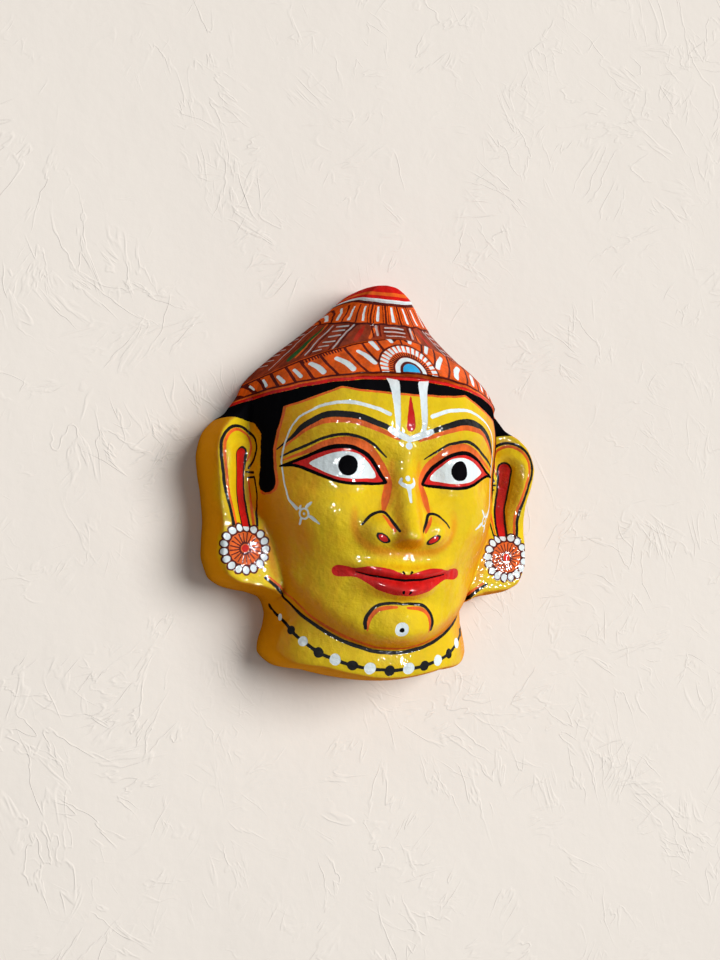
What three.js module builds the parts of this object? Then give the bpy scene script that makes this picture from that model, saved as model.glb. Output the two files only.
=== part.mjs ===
import * as THREE from 'three';

// A papier-mache wall mask moulded in one hollow shell, lying on its flat back rim, face up.
// Millimetres: x to the viewer's right, y to the crown, z out of the face. Both halves mirror.
// The face is a height over the plane of the rim, drawn from the dimensions below.

const SHELL = 4;             // thickness of the paper
const CENTRE_Y = -18;        // every outline point is seen from here, so the outline is polar
const RIM_ROUND = 4.5;       // the outer edge rolls over within this distance of the outline
const INNER_ROUND = 5;       // the same for the hollow

// half outline of the back rim from the crown to the foot of the neck, x and y
const OUTLINE = [
  [0, 130], [6, 129.2], [12, 126.4], [18, 121.6], [30, 110], [52, 91], [70, 75.5], [82.5, 62.5],
  [88.5, 50.5], [94, 42.5], [103, 35.5], [109.5, 27], [112.3, 16], [111.5, 3], [108.8, -12],
  [107, -27], [107.2, -42], [106.6, -53.5], [103, -62.8], [95.5, -68.8], [86, -71.4],
  [76, -73.2], [68, -76.5], [64.4, -84.5], [65, -94], [67.8, -104], [67.5, -111.5], [60, -118],
  [38, -122.3], [18, -126.5], [0, -128],
];
// height of the face along the middle, its half width, and how square its section is, by y
const FACE_HEIGHT = [[-112, 74], [-95, 77], [-76, 80.5], [-55, 82.5], [-30, 81], [-8, 79.5],
  [6, 80], [20, 84], [34, 86.5], [50, 84], [64, 78.5], [90, 60]];
const FACE_HALF = [[-112, 73], [-90, 74], [-58, 76], [-44, 79], [-30, 83], [-10, 87], [10, 88],
  [30, 88], [50, 86], [66, 82]];
const FACE_SQUARE = [[-105, 1.75], [-60, 1.75], [-40, 2.1], [-20, 2.45], [10, 2.4], [40, 2.3],
  [66, 2.2]];
// the hat: height along the middle and half width, by y
const HAT_HEIGHT = [[45, 90], [58, 86.5], [63, 84.5], [70, 78.5], [80, 69], [90, 60.5],
  [100, 54], [110, 48.5], [116, 46], [121, 44], [126, 41.5], [129, 39], [131.5, 36]];
const HAT_HALF = [[45, 97], [50, 94.5], [62.5, 87.5], [75.5, 75.5], [91, 57], [104, 44],
  [112, 40.5], [118, 38.5], [125, 32.5], [132, 26]];

const BRIM = { y: 62.5, drop: 13, at: 88, power: 2.2, soft: 3.2 };      // lower edge of the hat
const BAND = { y: 88.5, drop: 27, at: 82, power: 1.6, rise: 4, soft: 2.4 };  // petalled front band
const RING = { y: 98.5, rise: 1.5, soft: 2 };                         // fluted ring below the knob
const KNOB = { y: 115.2, rise: 2, soft: 2 };
const BROW = { x: 34, y: 30, halfWidth: 32, halfHeight: 9, rise: 2.5 };
const SOCKET = { x: 19, y: 3, halfWidth: 13, halfHeight: 11, rise: -5.5 };
const TEMPLE = { x: 50, y: 5, halfWidth: 18, halfHeight: 12, rise: -2.5 };
const EYE = { x: 38, y: 5, halfWidth: 31, halfHeight: 16, rise: 5, roundness: 1.5 };
const CHEEK = { x: 50, y: -24, halfWidth: 26, halfHeight: 22, rise: 6 };
const BRIDGE = { root: 22, tip: -35, foot: -47.5, footSoft: 10.5, rise: 14.5, rootHalf: 6.5,
  tipHalf: 12, growth: 0.85, square: 2.3 };
const NOSE_BALL = { x: 0, y: -35, halfWidth: 11, halfHeight: 9, rise: 3.5 };
const WING = { x: 17, y: -33.5, halfWidth: 12.5, halfHeight: 10.5, rise: 9, square: 1.5, soft: 7 };
const MOUTH = { y: -63, curl: 4.5, half: 30, groove: 1.6, grooveHalf: 1.5, fadeFrom: 36, fadeTo: 26 };
const UPPER_LIP = { above: 4.5, half: 4.2, fadeFrom: 46, fadeTo: 12, rise: 5 };
const LOWER_LIP = { below: 4.8, sag: 1.5, sagFrom: 20, half: 5, fadeFrom: 34, fadeTo: 4, rise: 6 };
const CHIN = { x: 0, y: -91, halfWidth: 20, halfHeight: 11, rise: 3 };
const CHIN_DENT = { x: 0, y: -77, halfWidth: 22, halfHeight: 4.5, rise: -2 };
const JAW = { y: -106.5, rise: 12, at: 40, power: 2.1, round: 13, fullness: 2.4, top: -30 };
const NECK = { height: 64, fall: 4, upperHalf: 68, footHalf: 73, upper: -80, foot: -112, rim: -128,
  square: 2.3, hiddenFrom: -35, hiddenTo: -60 };
const EAR = { inner: 24, rise: 10, from: 77, to: 106, bulge: 7, bulgeY: 10, bulgeHalf: 20,
  rootFrom: 56, rootTo: 64, topY: 54, footFrom: -84, footTo: -73 };
const SLOT = { topX: 91.5, topY: 12, footX: 87, footY: -31, half: 4, soft: 1, depth: 1.6,
  ridgeAt: 9.5, ridgeHalf: 4, ridge: 2.2, fadeFrom: -40, fadeTo: -28 };
const LOBE = { x: 89.6, y: -46, height: 40, dome: 1, radius: 14, topFrom: -8, topTo: -42,
  rootFrom: 54, rootTo: 66 };
const WELD = 4;              // how far the ear and the head run into each other

const clamp = (v, lo, hi) => Math.min(hi, Math.max(lo, v));
const step = (a, b, v) => { const t = clamp((v - a) / (b - a), 0, 1); return t * t * (3 - 2 * t); };
const bump = (x, y, o) => o.rise
  * Math.exp(-(((x - o.x) / o.halfWidth) ** 2) - ((y - o.y) / o.halfHeight) ** 2);
const pad = (x, y, o) => o.rise
  * Math.exp(-((((x - o.x) / o.halfWidth) ** 2 + ((y - o.y) / o.halfHeight) ** 2) ** o.square));
const dome = (u, n, q) => Math.max(0, 1 - Math.abs(u) ** n) ** q;
const roll = (t) => Math.sqrt(Math.max(0, 1 - (1 - clamp(t, 0, 1)) ** 2));
const blend = (a, b, k) => Math.max(a, b) + Math.max(0, 1 - Math.abs(a - b) / k) ** 2 * k / 4;

// a smooth curve through the knots that never overshoots them
function curve(knots) {
  const n = knots.length;
  const slope = (i) => (knots[i + 1][1] - knots[i][1]) / (knots[i + 1][0] - knots[i][0]);
  const tangent = knots.map((_, i) => {
    if (i === 0) return slope(0);
    if (i === n - 1) return slope(n - 2);
    const a = slope(i - 1), b = slope(i);
    const h0 = knots[i][0] - knots[i - 1][0], h1 = knots[i + 1][0] - knots[i][0];
    return a * b > 0 ? 3 * (h0 + h1) / ((2 * h1 + h0) / a + (h1 + 2 * h0) / b) : 0;
  });
  return (v) => {
    const x = clamp(v, knots[0][0], knots[n - 1][0]);
    let i = 0;
    while (i < n - 2 && x > knots[i + 1][0]) i++;
    const h = knots[i + 1][0] - knots[i][0], t = (x - knots[i][0]) / h;
    return knots[i][1] * (1 + 2 * t) * (1 - t) ** 2 + h * tangent[i] * t * (1 - t) ** 2
      + knots[i + 1][1] * t * t * (3 - 2 * t) + h * tangent[i + 1] * t * t * (t - 1);
  };
}
const faceHeight = curve(FACE_HEIGHT), faceHalf = curve(FACE_HALF), faceSquare = curve(FACE_SQUARE);
const hatHeight = curve(HAT_HEIGHT), hatHalf = curve(HAT_HALF);
const polar = curve(OUTLINE.map(([x, y]) => [Math.atan2(x, y - CENTRE_Y), Math.hypot(x, y - CENTRE_Y)]));

// angle from the crown, the radius of the outline there, and how much longer a slanting step is
const radius = (a) => polar(Math.abs(Math.atan2(Math.sin(a), Math.cos(a))));
function slant(a) {
  const r = radius(a), d = (radius(a + 0.009) - radius(a - 0.009)) / 0.018;
  return Math.hypot(r, d) / r;
}
function rimPoint(a, inset) {
  const r = radius(a) - inset * slant(a);
  return [r * Math.sin(a), CENTRE_Y + r * Math.cos(a)];
}
function insetAt(x, y) {
  const a = Math.atan2(x, y - CENTRE_Y);
  return (radius(a) - Math.hypot(x, y - CENTRE_Y)) / slant(a);
}

function nose(x, y) {
  const t = clamp((BRIDGE.root - y) / (BRIDGE.root - BRIDGE.tip), 0, 1);
  const half = BRIDGE.rootHalf + (BRIDGE.tipHalf - BRIDGE.rootHalf) * t;
  const bridge = BRIDGE.rise * t ** BRIDGE.growth * Math.exp(-((x / half) ** BRIDGE.square));
  const middle = bridge * step(BRIDGE.foot, BRIDGE.foot + BRIDGE.footSoft, y) + bump(x, y, NOSE_BALL);
  return blend(middle, pad(x, y, WING), WING.soft);
}
function lips(x, y) {
  const up = y - MOUTH.y - MOUTH.curl * (x / MOUTH.half) ** 2;      // above the line between the lips
  const sag = LOWER_LIP.below + LOWER_LIP.sag * step(LOWER_LIP.sagFrom, 0, x);
  const ridge = (v, lip) => lip.rise * Math.exp(-((v / lip.half) ** 2)) * step(lip.fadeFrom, lip.fadeTo, x);
  const groove = MOUTH.groove * Math.exp(-((up / MOUTH.grooveHalf) ** 2));
  return ridge(up - UPPER_LIP.above, UPPER_LIP) + ridge(up + sag, LOWER_LIP)
    - groove * step(MOUTH.fadeFrom, MOUTH.fadeTo, x);
}
function head(x, y) {
  let z = faceHeight(y) * dome(x / faceHalf(y), faceSquare(y), 0.5);
  for (const o of [BROW, SOCKET, TEMPLE, CHEEK, CHIN, CHIN_DENT]) z += bump(x, y, o);
  const eye = Math.max(0, 1 - ((x - EYE.x) / EYE.halfWidth) ** 2 - ((y - EYE.y) / EYE.halfHeight) ** 2);
  return z + EYE.rise * eye ** EYE.roundness + nose(x, y) + lips(x, y);
}
function neck(x, y) {
  const half = NECK.upperHalf + (NECK.footHalf - NECK.upperHalf) * step(NECK.upper, NECK.foot, y);
  const height = NECK.height - NECK.fall * step(NECK.foot, NECK.rim, y);
  return height * dome(x / half, NECK.square, 0.5) * step(NECK.hiddenFrom, NECK.hiddenTo, y);
}
function ear(x, y) {
  if (y > EAR.topY) return 0;
  const edge = EAR.rise + EAR.bulge * Math.exp(-(((y - EAR.bulgeY) / EAR.bulgeHalf) ** 2));
  let z = EAR.inner + edge * step(EAR.from, EAR.to, x);
  z += (LOBE.height - z) * step(LOBE.topFrom, LOBE.topTo, y) * step(LOBE.rootFrom, LOBE.rootTo, x);
  z += LOBE.dome * Math.exp(-(((x - LOBE.x) / LOBE.radius) ** 2) - ((y - LOBE.y) / LOBE.radius) ** 2);
  const ux = SLOT.footX - SLOT.topX, uy = SLOT.footY - SLOT.topY;
  const t = clamp(((x - SLOT.topX) * ux + (y - SLOT.topY) * uy) / (ux * ux + uy * uy), 0, 1);
  const d = Math.hypot(x - SLOT.topX - t * ux, y - SLOT.topY - t * uy);
  const ridge = SLOT.ridge * Math.exp(-(((d - SLOT.ridgeAt) / SLOT.ridgeHalf) ** 2));
  const hollow = SLOT.depth * step(SLOT.half + SLOT.soft, SLOT.half - SLOT.soft, d);
  z += (ridge - hollow) * step(SLOT.fadeFrom, SLOT.fadeTo, y);
  return z * step(EAR.rootFrom, EAR.rootTo, x) * step(EAR.footFrom, EAR.footTo, y);
}
// distances across the lines where the form breaks: jaw, brim, band, ring and knob
function fromJaw(x, y) {
  const steep = 1 + (JAW.rise * JAW.power / JAW.at * (x / JAW.at) ** (JAW.power - 1)) ** 2;
  return (y - JAW.y - JAW.rise * (x / JAW.at) ** JAW.power) / Math.sqrt(steep);
}
const fromBrim = (x, y) => y - BRIM.y + BRIM.drop * (x / BRIM.at) ** BRIM.power;
const fromBand = (x, y) => y - BAND.y + BAND.drop * (x / BAND.at) ** BAND.power;
const BREAKS = [
  (x, y) => fromBrim(x, y) - BRIM.soft / 2, (x, y) => fromBrim(x, y) + BRIM.soft / 2,
  (x, y) => fromBand(x, y) - BAND.soft / 2, (x, y) => fromBand(x, y) + BAND.soft / 2,
  (x, y) => y - RING.y, (x, y) => y - KNOB.y, fromJaw,
];
function skin(x, y) {
  const n = neck(x, y);
  let f = head(x, y);
  if (y < JAW.top) {
    f = n + (f - n) * (1 - (1 - clamp(fromJaw(x, y) / JAW.round, 0, 1)) ** JAW.fullness);
  }
  return blend(Math.max(f, n), ear(x, y), WELD);
}
function hat(x, y) {
  return hatHeight(y) * dome(x / hatHalf(y), 2, 0.72)
    + BAND.rise * step(BAND.soft / 2, -BAND.soft / 2, fromBand(x, y))
    + RING.rise * step(RING.y - RING.soft / 2, RING.y + RING.soft / 2, y)
    + KNOB.rise * step(KNOB.y - KNOB.soft / 2, KNOB.y + KNOB.soft / 2, y);
}
// height of the moulded form before its edge is rolled over
function form(px, y) {
  const x = Math.abs(px);
  const k = step(-BRIM.soft / 2, BRIM.soft / 2, fromBrim(x, y));
  if (k === 0) return skin(x, y);
  return k === 1 ? hat(x, y) : skin(x, y) * (1 - k) + Math.max(hat(x, y), skin(x, y)) * k;
}
const outer = (x, y) => form(x, y) * roll(insetAt(x, y) / RIM_ROUND);
// the hollow keeps the shell's thickness everywhere: the form lowered by a ball of that radius
function inner(x, y) {
  let z = form(x, y) - SHELL;
  for (const [share, count] of [[0.55, 6], [0.85, 8], [1, 8]]) {
    const r = SHELL * share, fall = SHELL * Math.sqrt(1 - share * share);
    for (let i = 0; i < count; i++) {
      const a = 2 * Math.PI * i / count;
      z = Math.min(z, form(x + r * Math.cos(a), y + r * Math.sin(a)) - fall);
    }
  }
  return Math.max(0, z) * roll((insetAt(x, y) - SHELL) / INNER_ROUND);
}

// Each side of the shell is a stack of rings; near the rim a ring keeps its distance to the outline.
const SIDES = {
  out: { height: outer, inset: 0, round: RIM_ROUND, turns: [0, 16, 34, 54, 74, 90], count: 96,
    inward: [[0.9, 84], [0.78, 72], [0.64, 60], [0.5, 42], [0.35, 28], [0.18, 14], [0, 1]],
    error: 0.45, shortest: 2.6 },
  in: { height: inner, inset: SHELL, round: INNER_ROUND, turns: [0, 30, 60, 90], count: 60,
    inward: [[0.85, 48], [0.66, 36], [0.45, 24], [0.22, 12], [0, 1]], error: 1.4, shortest: 6 },
};
const points = [];
let faces = [];
function rimVertex(side, a, turn) {
  const s = SIDES[side];
  const [x, y] = rimPoint(a, s.inset + s.round * (1 - Math.cos(turn * Math.PI / 180)));
  return points.push({ x, y, z: turn === 0 ? 0 : s.height(x, y), a, turn, side }) - 1;
}
function openVertex(side, x, y) {
  return points.push({ x, y, z: SIDES[side].height(x, y), side }) - 1;
}
// triangles between two rings of any counts; each ring starts at angle 0
function stitch(ringA, ringB, flip, side) {
  const n = ringA.length, m = ringB.length;
  let i = 0, j = 0;
  while (i < n || j < m) {
    const a = ringA[i % n], b = ringB[j % m];
    const takeA = m === 1 || (i < n && (j >= m || (i + 1) / n <= (j + 1) / m));
    const c = takeA ? ringA[(i + 1) % n] : ringB[(j + 1) % m];
    if (takeA) i++; else j++;
    if (m === 1 && i > n) break;
    faces.push({ v: flip ? [a, b, c] : [a, c, b], side });
    if (m === 1 && i === n) break;
  }
}
function buildSide(side, flip) {
  const s = SIDES[side];
  const angles = (n) => Array.from({ length: n }, (_, i) => 2 * Math.PI * i / n);
  const rings = s.turns.map((turn) => angles(s.count).map((a) => rimVertex(side, a, turn)));
  for (const [share, count] of s.inward) {
    rings.push(angles(count).map((a) => {
      const [x, y] = rimPoint(a, s.inset + s.round);
      return openVertex(side, x * share, CENTRE_Y + (y - CENTRE_Y) * share);
    }));
  }
  for (let i = 0; i + 1 < rings.length; i++) stitch(rings[i], rings[i + 1], flip, side);
  return rings[0];
}
const outlineRing = buildSide('out', true);
const hollowRing = buildSide('in', false);
stitch(outlineRing, hollowRing, false, 'flat');

// Splits every edge that strays from the true form, keeping the mesh closed.
function refine() {
  const edges = new Map();
  const key = (a, b) => (a < b ? a * 1e6 + b : b * 1e6 + a);
  for (const f of faces) {
    for (let i = 0; i < 3; i++) {
      const k = key(f.v[i], f.v[(i + 1) % 3]);
      if (!edges.has(k)) edges.set(k, { a: f.v[i], b: f.v[(i + 1) % 3], sides: [] });
      edges.get(k).sides.push(f.side);
    }
  }
  const middle = (e, t) => {
    const p = points[e.a], q = points[e.b];
    const side = e.sides.find((s) => s !== 'flat') ?? 'flat';
    if (side === 'flat') return null;
    if (p.a !== undefined && q.a !== undefined) {
      const turnBy = Math.atan2(Math.sin(q.a - p.a), Math.cos(q.a - p.a));
      const a = p.a + turnBy * t, turn = p.turn + (q.turn - p.turn) * t;
      const s = SIDES[side];
      const [x, y] = rimPoint(a, s.inset + s.round * (1 - Math.cos(turn * Math.PI / 180)));
      return { x, y, z: turn === 0 ? 0 : s.height(x, y), a, turn, side };
    }
    const x = p.x + (q.x - p.x) * t, y = p.y + (q.y - p.y) * t;
    return { x, y, z: SIDES[side].height(x, y), side };
  };
  // an edge over a break is cut where it meets the break, so that the facets follow it
  const cutAt = (p, q) => {
    if (p.turn !== undefined && q.turn !== undefined) return 0.5;
    for (const f of BREAKS) {
      const a = f(Math.abs(p.x), p.y), b = f(Math.abs(q.x), q.y);
      if (a * b < 0 && a / (a - b) > 0.2 && a / (a - b) < 0.8) return a / (a - b);
    }
    return 0.5;
  };
  for (const e of edges.values()) {
    const p = points[e.a], q = points[e.b];
    e.length = Math.hypot(p.x - q.x, p.y - q.y, p.z - q.z);
    e.mid = middle(e, cutAt(p, q));
    if (!e.mid) continue;
    const s = SIDES[e.mid.side];
    if (e.length < 2 * s.shortest) continue;
    for (const t of [0.25, 0.5, 0.75]) {
      const m = middle(e, t);
      const off = Math.hypot(p.x + (q.x - p.x) * t - m.x, p.y + (q.y - p.y) * t - m.y,
        p.z + (q.z - p.z) * t - m.z);
      if (off > s.error) e.split = true;
    }
  }
  const own = (f) => f.v.map((a, i) => edges.get(key(a, f.v[(i + 1) % 3])));
  for (let again = true; again;) {
    again = false;
    for (const f of faces) {
      const e = own(f);
      if (!e.some((k) => k.split)) continue;
      const longest = e.reduce((p, q) => (q.length > p.length ? q : p));
      if (!longest.split && longest.mid) { longest.split = true; again = true; }
    }
  }
  for (const e of edges.values()) if (e.split) e.index = points.push(e.mid) - 1;
  const next = [];
  for (const f of faces) {
    const e = own(f);
    const cut = e.filter((k) => k.split).length;
    if (cut === 0) { next.push(f); continue; }
    let r = 0;
    if (cut === 1) r = e.findIndex((k) => k.split);
    if (cut === 2) r = (e.findIndex((k) => !k.split) + 1) % 3;
    const [a, b, c] = [0, 1, 2].map((i) => f.v[(r + i) % 3]);
    const [ab, bc, ca] = [0, 1, 2].map((i) => e[(r + i) % 3].index);
    const put = (...list) => list.forEach((v) => next.push({ v, side: f.side }));
    const firstLonger = e[r].length > e[(r + 1) % 3].length;
    if (cut === 1) put([a, ab, c], [ab, b, c]);
    if (cut === 2 && firstLonger) put([ab, b, bc], [a, ab, c], [ab, bc, c]);
    if (cut === 2 && !firstLonger) put([ab, b, bc], [a, ab, bc], [a, bc, c]);
    if (cut === 3) put([a, ab, ca], [ab, b, bc], [ca, bc, c], [ab, bc, ca]);
  }
  const grew = next.length > faces.length;
  faces = next;
  return grew;
}
for (let pass = 0; pass < 5 && refine(); pass++);

const used = faces.flatMap((f) => f.v);
const geometry = new THREE.BufferGeometry();
const xyz = points.flatMap((p) => [p.x, p.y, p.z]);
geometry.setAttribute('position', new THREE.Float32BufferAttribute(xyz, 3));
geometry.setIndex(used);
geometry.computeVertexNormals();

const mask = new THREE.Mesh(geometry, new THREE.MeshStandardMaterial({ color: 0xe8c81e, roughness: 0.35 }));
mask.name = 'mask_shell';
mask.position.y = -(OUTLINE[0][1] + OUTLINE[OUTLINE.length - 1][1]) / 2;   // origin under the middle
const part = new THREE.Group();
part.name = 'papier_mache_mask';
part.add(mask);

export default part;
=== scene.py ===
"""A painted papier-mache wall mask, moulded and painted by hand.

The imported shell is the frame. The visual shell follows the same moulded form much more finely.
Every brush stroke is kept on its vertices as a distance in millimetres, positive inside the stroke,
and the paint material turns those distances into paint.
"""

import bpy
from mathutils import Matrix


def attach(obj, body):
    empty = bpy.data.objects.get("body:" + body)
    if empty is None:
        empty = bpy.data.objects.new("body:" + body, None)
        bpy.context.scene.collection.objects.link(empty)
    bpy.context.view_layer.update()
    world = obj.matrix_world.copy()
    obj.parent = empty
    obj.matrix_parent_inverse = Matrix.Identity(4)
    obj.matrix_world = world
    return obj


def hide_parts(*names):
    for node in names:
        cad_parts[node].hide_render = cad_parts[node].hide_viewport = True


bl_info = {
    "name": "Painted Papier-mache Mask",
    "version": (1, 0, 0),
    "blender": (4, 5, 0),
    "location": "3D View > Sidebar > Mask",
    "description": "Builds a hollow papier-mache mask with its painting, and the stage that shows it",
    "category": "Object",
}

from types import SimpleNamespace as Size

import bpy
import numpy as np
from bpy.props import FloatProperty, FloatVectorProperty, PointerProperty
from mathutils import Matrix, Vector

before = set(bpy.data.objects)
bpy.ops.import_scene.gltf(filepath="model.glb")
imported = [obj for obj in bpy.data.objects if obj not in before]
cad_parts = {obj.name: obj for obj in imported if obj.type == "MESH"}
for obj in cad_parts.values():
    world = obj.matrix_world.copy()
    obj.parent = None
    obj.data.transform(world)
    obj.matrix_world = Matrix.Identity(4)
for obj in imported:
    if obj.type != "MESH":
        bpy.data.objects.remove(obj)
MM = 0.001
SHIFT_Y = -1.0     # the form is drawn round its own middle, and the frame has it this much lower

# The moulded form, in millimetres: x to the right, y to the crown, z out of the face. It is the
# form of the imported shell, with the same dimensions but a softer edge, and with the steps of the
# ring and the knob bent up at the sides.
SHELL = 4.0
CENTRE_Y = -18.0
RIM_ROUND = 5.0
INNER_ROUND = 5.0
OUTLINE = [
    (0, 130), (6, 129.2), (12, 126.4), (18, 121.6), (30, 110), (52, 91), (70, 75.5), (82.5, 62.5),
    (88.5, 50.5), (94, 42.5), (103, 35.5), (109.5, 27), (112.3, 16), (111.5, 3), (108.8, -12),
    (107, -27), (107.2, -42), (106.6, -53.5), (103, -62.8), (95.5, -68.8), (86, -71.4), (76, -73.2),
    (68, -76.5), (64.4, -84.5), (65, -94), (67.8, -104), (67.5, -111.5), (60, -118), (38, -122.3),
    (18, -126.5), (0, -128)]
FACE_HEIGHT = [(-112, 74), (-95, 77), (-76, 80.5), (-55, 82.5), (-30, 81), (-8, 79.5), (6, 80),
               (20, 84), (34, 86.5), (50, 84), (64, 78.5), (90, 60)]
FACE_HALF = [(-112, 73), (-90, 74), (-58, 76), (-44, 79), (-30, 83), (-10, 87), (10, 88), (30, 88),
             (50, 86), (66, 82)]
FACE_SQUARE = [(-105, 1.75), (-60, 1.75), (-40, 2.1), (-20, 2.45), (10, 2.4), (40, 2.3), (66, 2.2)]
HAT_HEIGHT = [(45, 90), (58, 86.5), (63, 84.5), (70, 78.5), (80, 69), (90, 60.5), (100, 54),
              (110, 48.5), (116, 46), (121, 44), (126, 41.5), (129, 39), (131.5, 36)]
HAT_HALF = [(45, 97), (50, 94.5), (62.5, 87.5), (75.5, 75.5), (91, 57), (104, 44), (112, 40.5),
            (118, 38.5), (125, 32.5), (132, 26)]
HAT_SQUARE = Size(power=2, fullness=0.72)
BRIM = Size(y=62.5, drop=13, at=88, power=2.2, soft=3.2)
BAND = Size(y=88.5, drop=27, at=82, power=1.6, rise=4, soft=2.4)
RING = Size(y=98.2, rise=1.5, soft=2, bend=2.6, at=34.6, power=2.6)
KNOB = Size(y=114.4, rise=2, soft=2, bend=2.4, at=19, power=3)
BROW_RIDGE = Size(x=34, y=30, half_width=32, half_height=9, rise=2.5)
SOCKET = Size(x=19, y=3, half_width=13, half_height=11, rise=-5.5)
TEMPLE = Size(x=50, y=5, half_width=18, half_height=12, rise=-2.5)
EYEBALL = Size(x=38, y=5, half_width=31, half_height=16, rise=5, roundness=1.5)
CHEEK = Size(x=50, y=-24, half_width=26, half_height=22, rise=6)
BRIDGE = Size(root=22, tip=-35, foot=-47.5, foot_soft=10.5, rise=14.5, root_half=6.5, tip_half=12,
              growth=0.85, square=2.3)
NOSE_BALL = Size(x=0, y=-35, half_width=11, half_height=9, rise=3.5)
WING = Size(x=17, y=-33.5, half_width=12.5, half_height=10.5, rise=9, square=1.5, soft=7)
MOUTH = Size(y=-63, curl=4.5, half=30, groove=1.6, groove_half=1.5, fade_from=36, fade_to=26)
UPPER_LIP = Size(above=4.5, half=4.2, fade_from=46, fade_to=12, rise=5)
LOWER_LIP = Size(below=4.8, sag=1.5, sag_from=20, half=5, fade_from=34, fade_to=4, rise=6)
CHIN = Size(x=0, y=-91, half_width=20, half_height=11, rise=3)
CHIN_DENT = Size(x=0, y=-77, half_width=22, half_height=4.5, rise=-2)
JAW = Size(y=-106.5, rise=12, at=40, power=2.1, round=13, fullness=2.4, top=-30)
NECK = Size(height=64, fall=4, upper_half=68, foot_half=73, upper=-80, foot=-112, rim=-128,
            square=2.3, hidden_from=-35, hidden_to=-60)
EAR = Size(inner=24, rise=10, at=77, to=106, bulge=7, bulge_y=10, bulge_half=20, root_from=56,
           root_to=64, top=54, foot_from=-84, foot_to=-73)
SLOT = Size(top=(91.5, 12), foot=(87, -31), half=4, soft=1, depth=1.6, ridge_at=9.5, ridge_half=4,
            ridge=2.2, fade_from=-40, fade_to=-28)
LOBE = Size(x=89.6, y=-46, height=40, dome=1, radius=14, top_from=-8, top_to=-42, root_from=54,
            root_to=66)
WELD = 4.0
TURN_STEP = 0.009     # radians to either side, for the slope of the outline

# The ball that lowers the hollow: rings on it, by share of its radius and number of places.
BALL = ((0.55, 6), (0.85, 8), (1, 8))

# What the hand left uneven, as waves of a height, a length and a seed.
DENTS = ((0.4, 46, 3), (0.14, 15, 4), (0.07, 7, 5))
HAND_ASIDE = ((0.2, 21, 11), (0.09, 7, 12))
HAND_UP = ((0.2, 19, 13), (0.09, 8, 14))


def step(a, b, v):
    t = np.clip((v - a) / (b - a), 0, 1)
    return t * t * (3 - 2 * t)


def bump(x, y, o):
    return o.rise * np.exp(-((x - o.x) / o.half_width) ** 2 - ((y - o.y) / o.half_height) ** 2)


def pad(x, y, o):
    away = ((x - o.x) / o.half_width) ** 2 + ((y - o.y) / o.half_height) ** 2
    return o.rise * np.exp(-away ** o.square)


def dome(u, n, q):
    return np.maximum(0, 1 - np.abs(u) ** n) ** q


def roll(t):
    return np.sqrt(np.maximum(0, 1 - (1 - np.clip(t, 0, 1)) ** 2))


def blend(a, b, k):
    return np.maximum(a, b) + np.maximum(0, 1 - np.abs(a - b) / k) ** 2 * k / 4


def curve(knots):
    """A smooth curve through the knots that never overshoots them."""
    xs, ys = np.array(knots, float).T
    h = np.diff(xs)
    d = np.diff(ys) / h
    m = np.concatenate([[d[0]], np.zeros(len(xs) - 2), [d[-1]]])
    for i in range(1, len(xs) - 1):
        if d[i - 1] * d[i] > 0:
            near_slope, far_slope = (2 * h[i] + h[i - 1]) / d[i - 1], (h[i] + 2 * h[i - 1]) / d[i]
            m[i] = 3 * (h[i - 1] + h[i]) / (near_slope + far_slope)

    def at(v):
        x = np.clip(v, xs[0], xs[-1])
        i = np.clip(np.searchsorted(xs, x, side="right") - 1, 0, len(xs) - 2)
        t = (x - xs[i]) / h[i]
        return (ys[i] * (1 + 2 * t) * (1 - t) ** 2 + h[i] * m[i] * t * (1 - t) ** 2
                + ys[i + 1] * t * t * (3 - 2 * t) + h[i] * m[i + 1] * t * t * (t - 1))
    return at


face_height, face_half, face_square = curve(FACE_HEIGHT), curve(FACE_HALF), curve(FACE_SQUARE)
hat_height, hat_half = curve(HAT_HEIGHT), curve(HAT_HALF)
polar = curve([(np.arctan2(x, y - CENTRE_Y), np.hypot(x, y - CENTRE_Y)) for x, y in OUTLINE])


def radius(a):
    return polar(np.abs(np.arctan2(np.sin(a), np.cos(a))))


def slant(a):
    r = radius(a)
    d = (radius(a + TURN_STEP) - radius(a - TURN_STEP)) / (2 * TURN_STEP)
    return np.hypot(r, d) / r


def rim_point(a, inset):
    r = radius(a) - inset * slant(a)
    return r * np.sin(a), CENTRE_Y + r * np.cos(a)


def inset_at(x, y):
    a = np.arctan2(x, y - CENTRE_Y)
    return (radius(a) - np.hypot(x, y - CENTRE_Y)) / slant(a)


def from_jaw(x, y):
    steep = 1 + (JAW.rise * JAW.power / JAW.at * (x / JAW.at) ** (JAW.power - 1)) ** 2
    return (y - JAW.y - JAW.rise * (x / JAW.at) ** JAW.power) / np.sqrt(steep)


def from_brim(x, y):
    return y - BRIM.y + BRIM.drop * (x / BRIM.at) ** BRIM.power


def from_band(x, y):
    return y - BAND.y + BAND.drop * (x / BAND.at) ** BAND.power


def above_step(x, y, o):
    """Height above the lower edge of the ring or the knob."""
    return y - o.y - o.bend * (x / o.at) ** o.power


def nose(x, y):
    t = np.clip((BRIDGE.root - y) / (BRIDGE.root - BRIDGE.tip), 0, 1)
    half = BRIDGE.root_half + (BRIDGE.tip_half - BRIDGE.root_half) * t
    ridge = BRIDGE.rise * t ** BRIDGE.growth * np.exp(-(x / half) ** BRIDGE.square)
    middle = ridge * step(BRIDGE.foot, BRIDGE.foot + BRIDGE.foot_soft, y) + bump(x, y, NOSE_BALL)
    return blend(middle, pad(x, y, WING), WING.soft)


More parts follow.
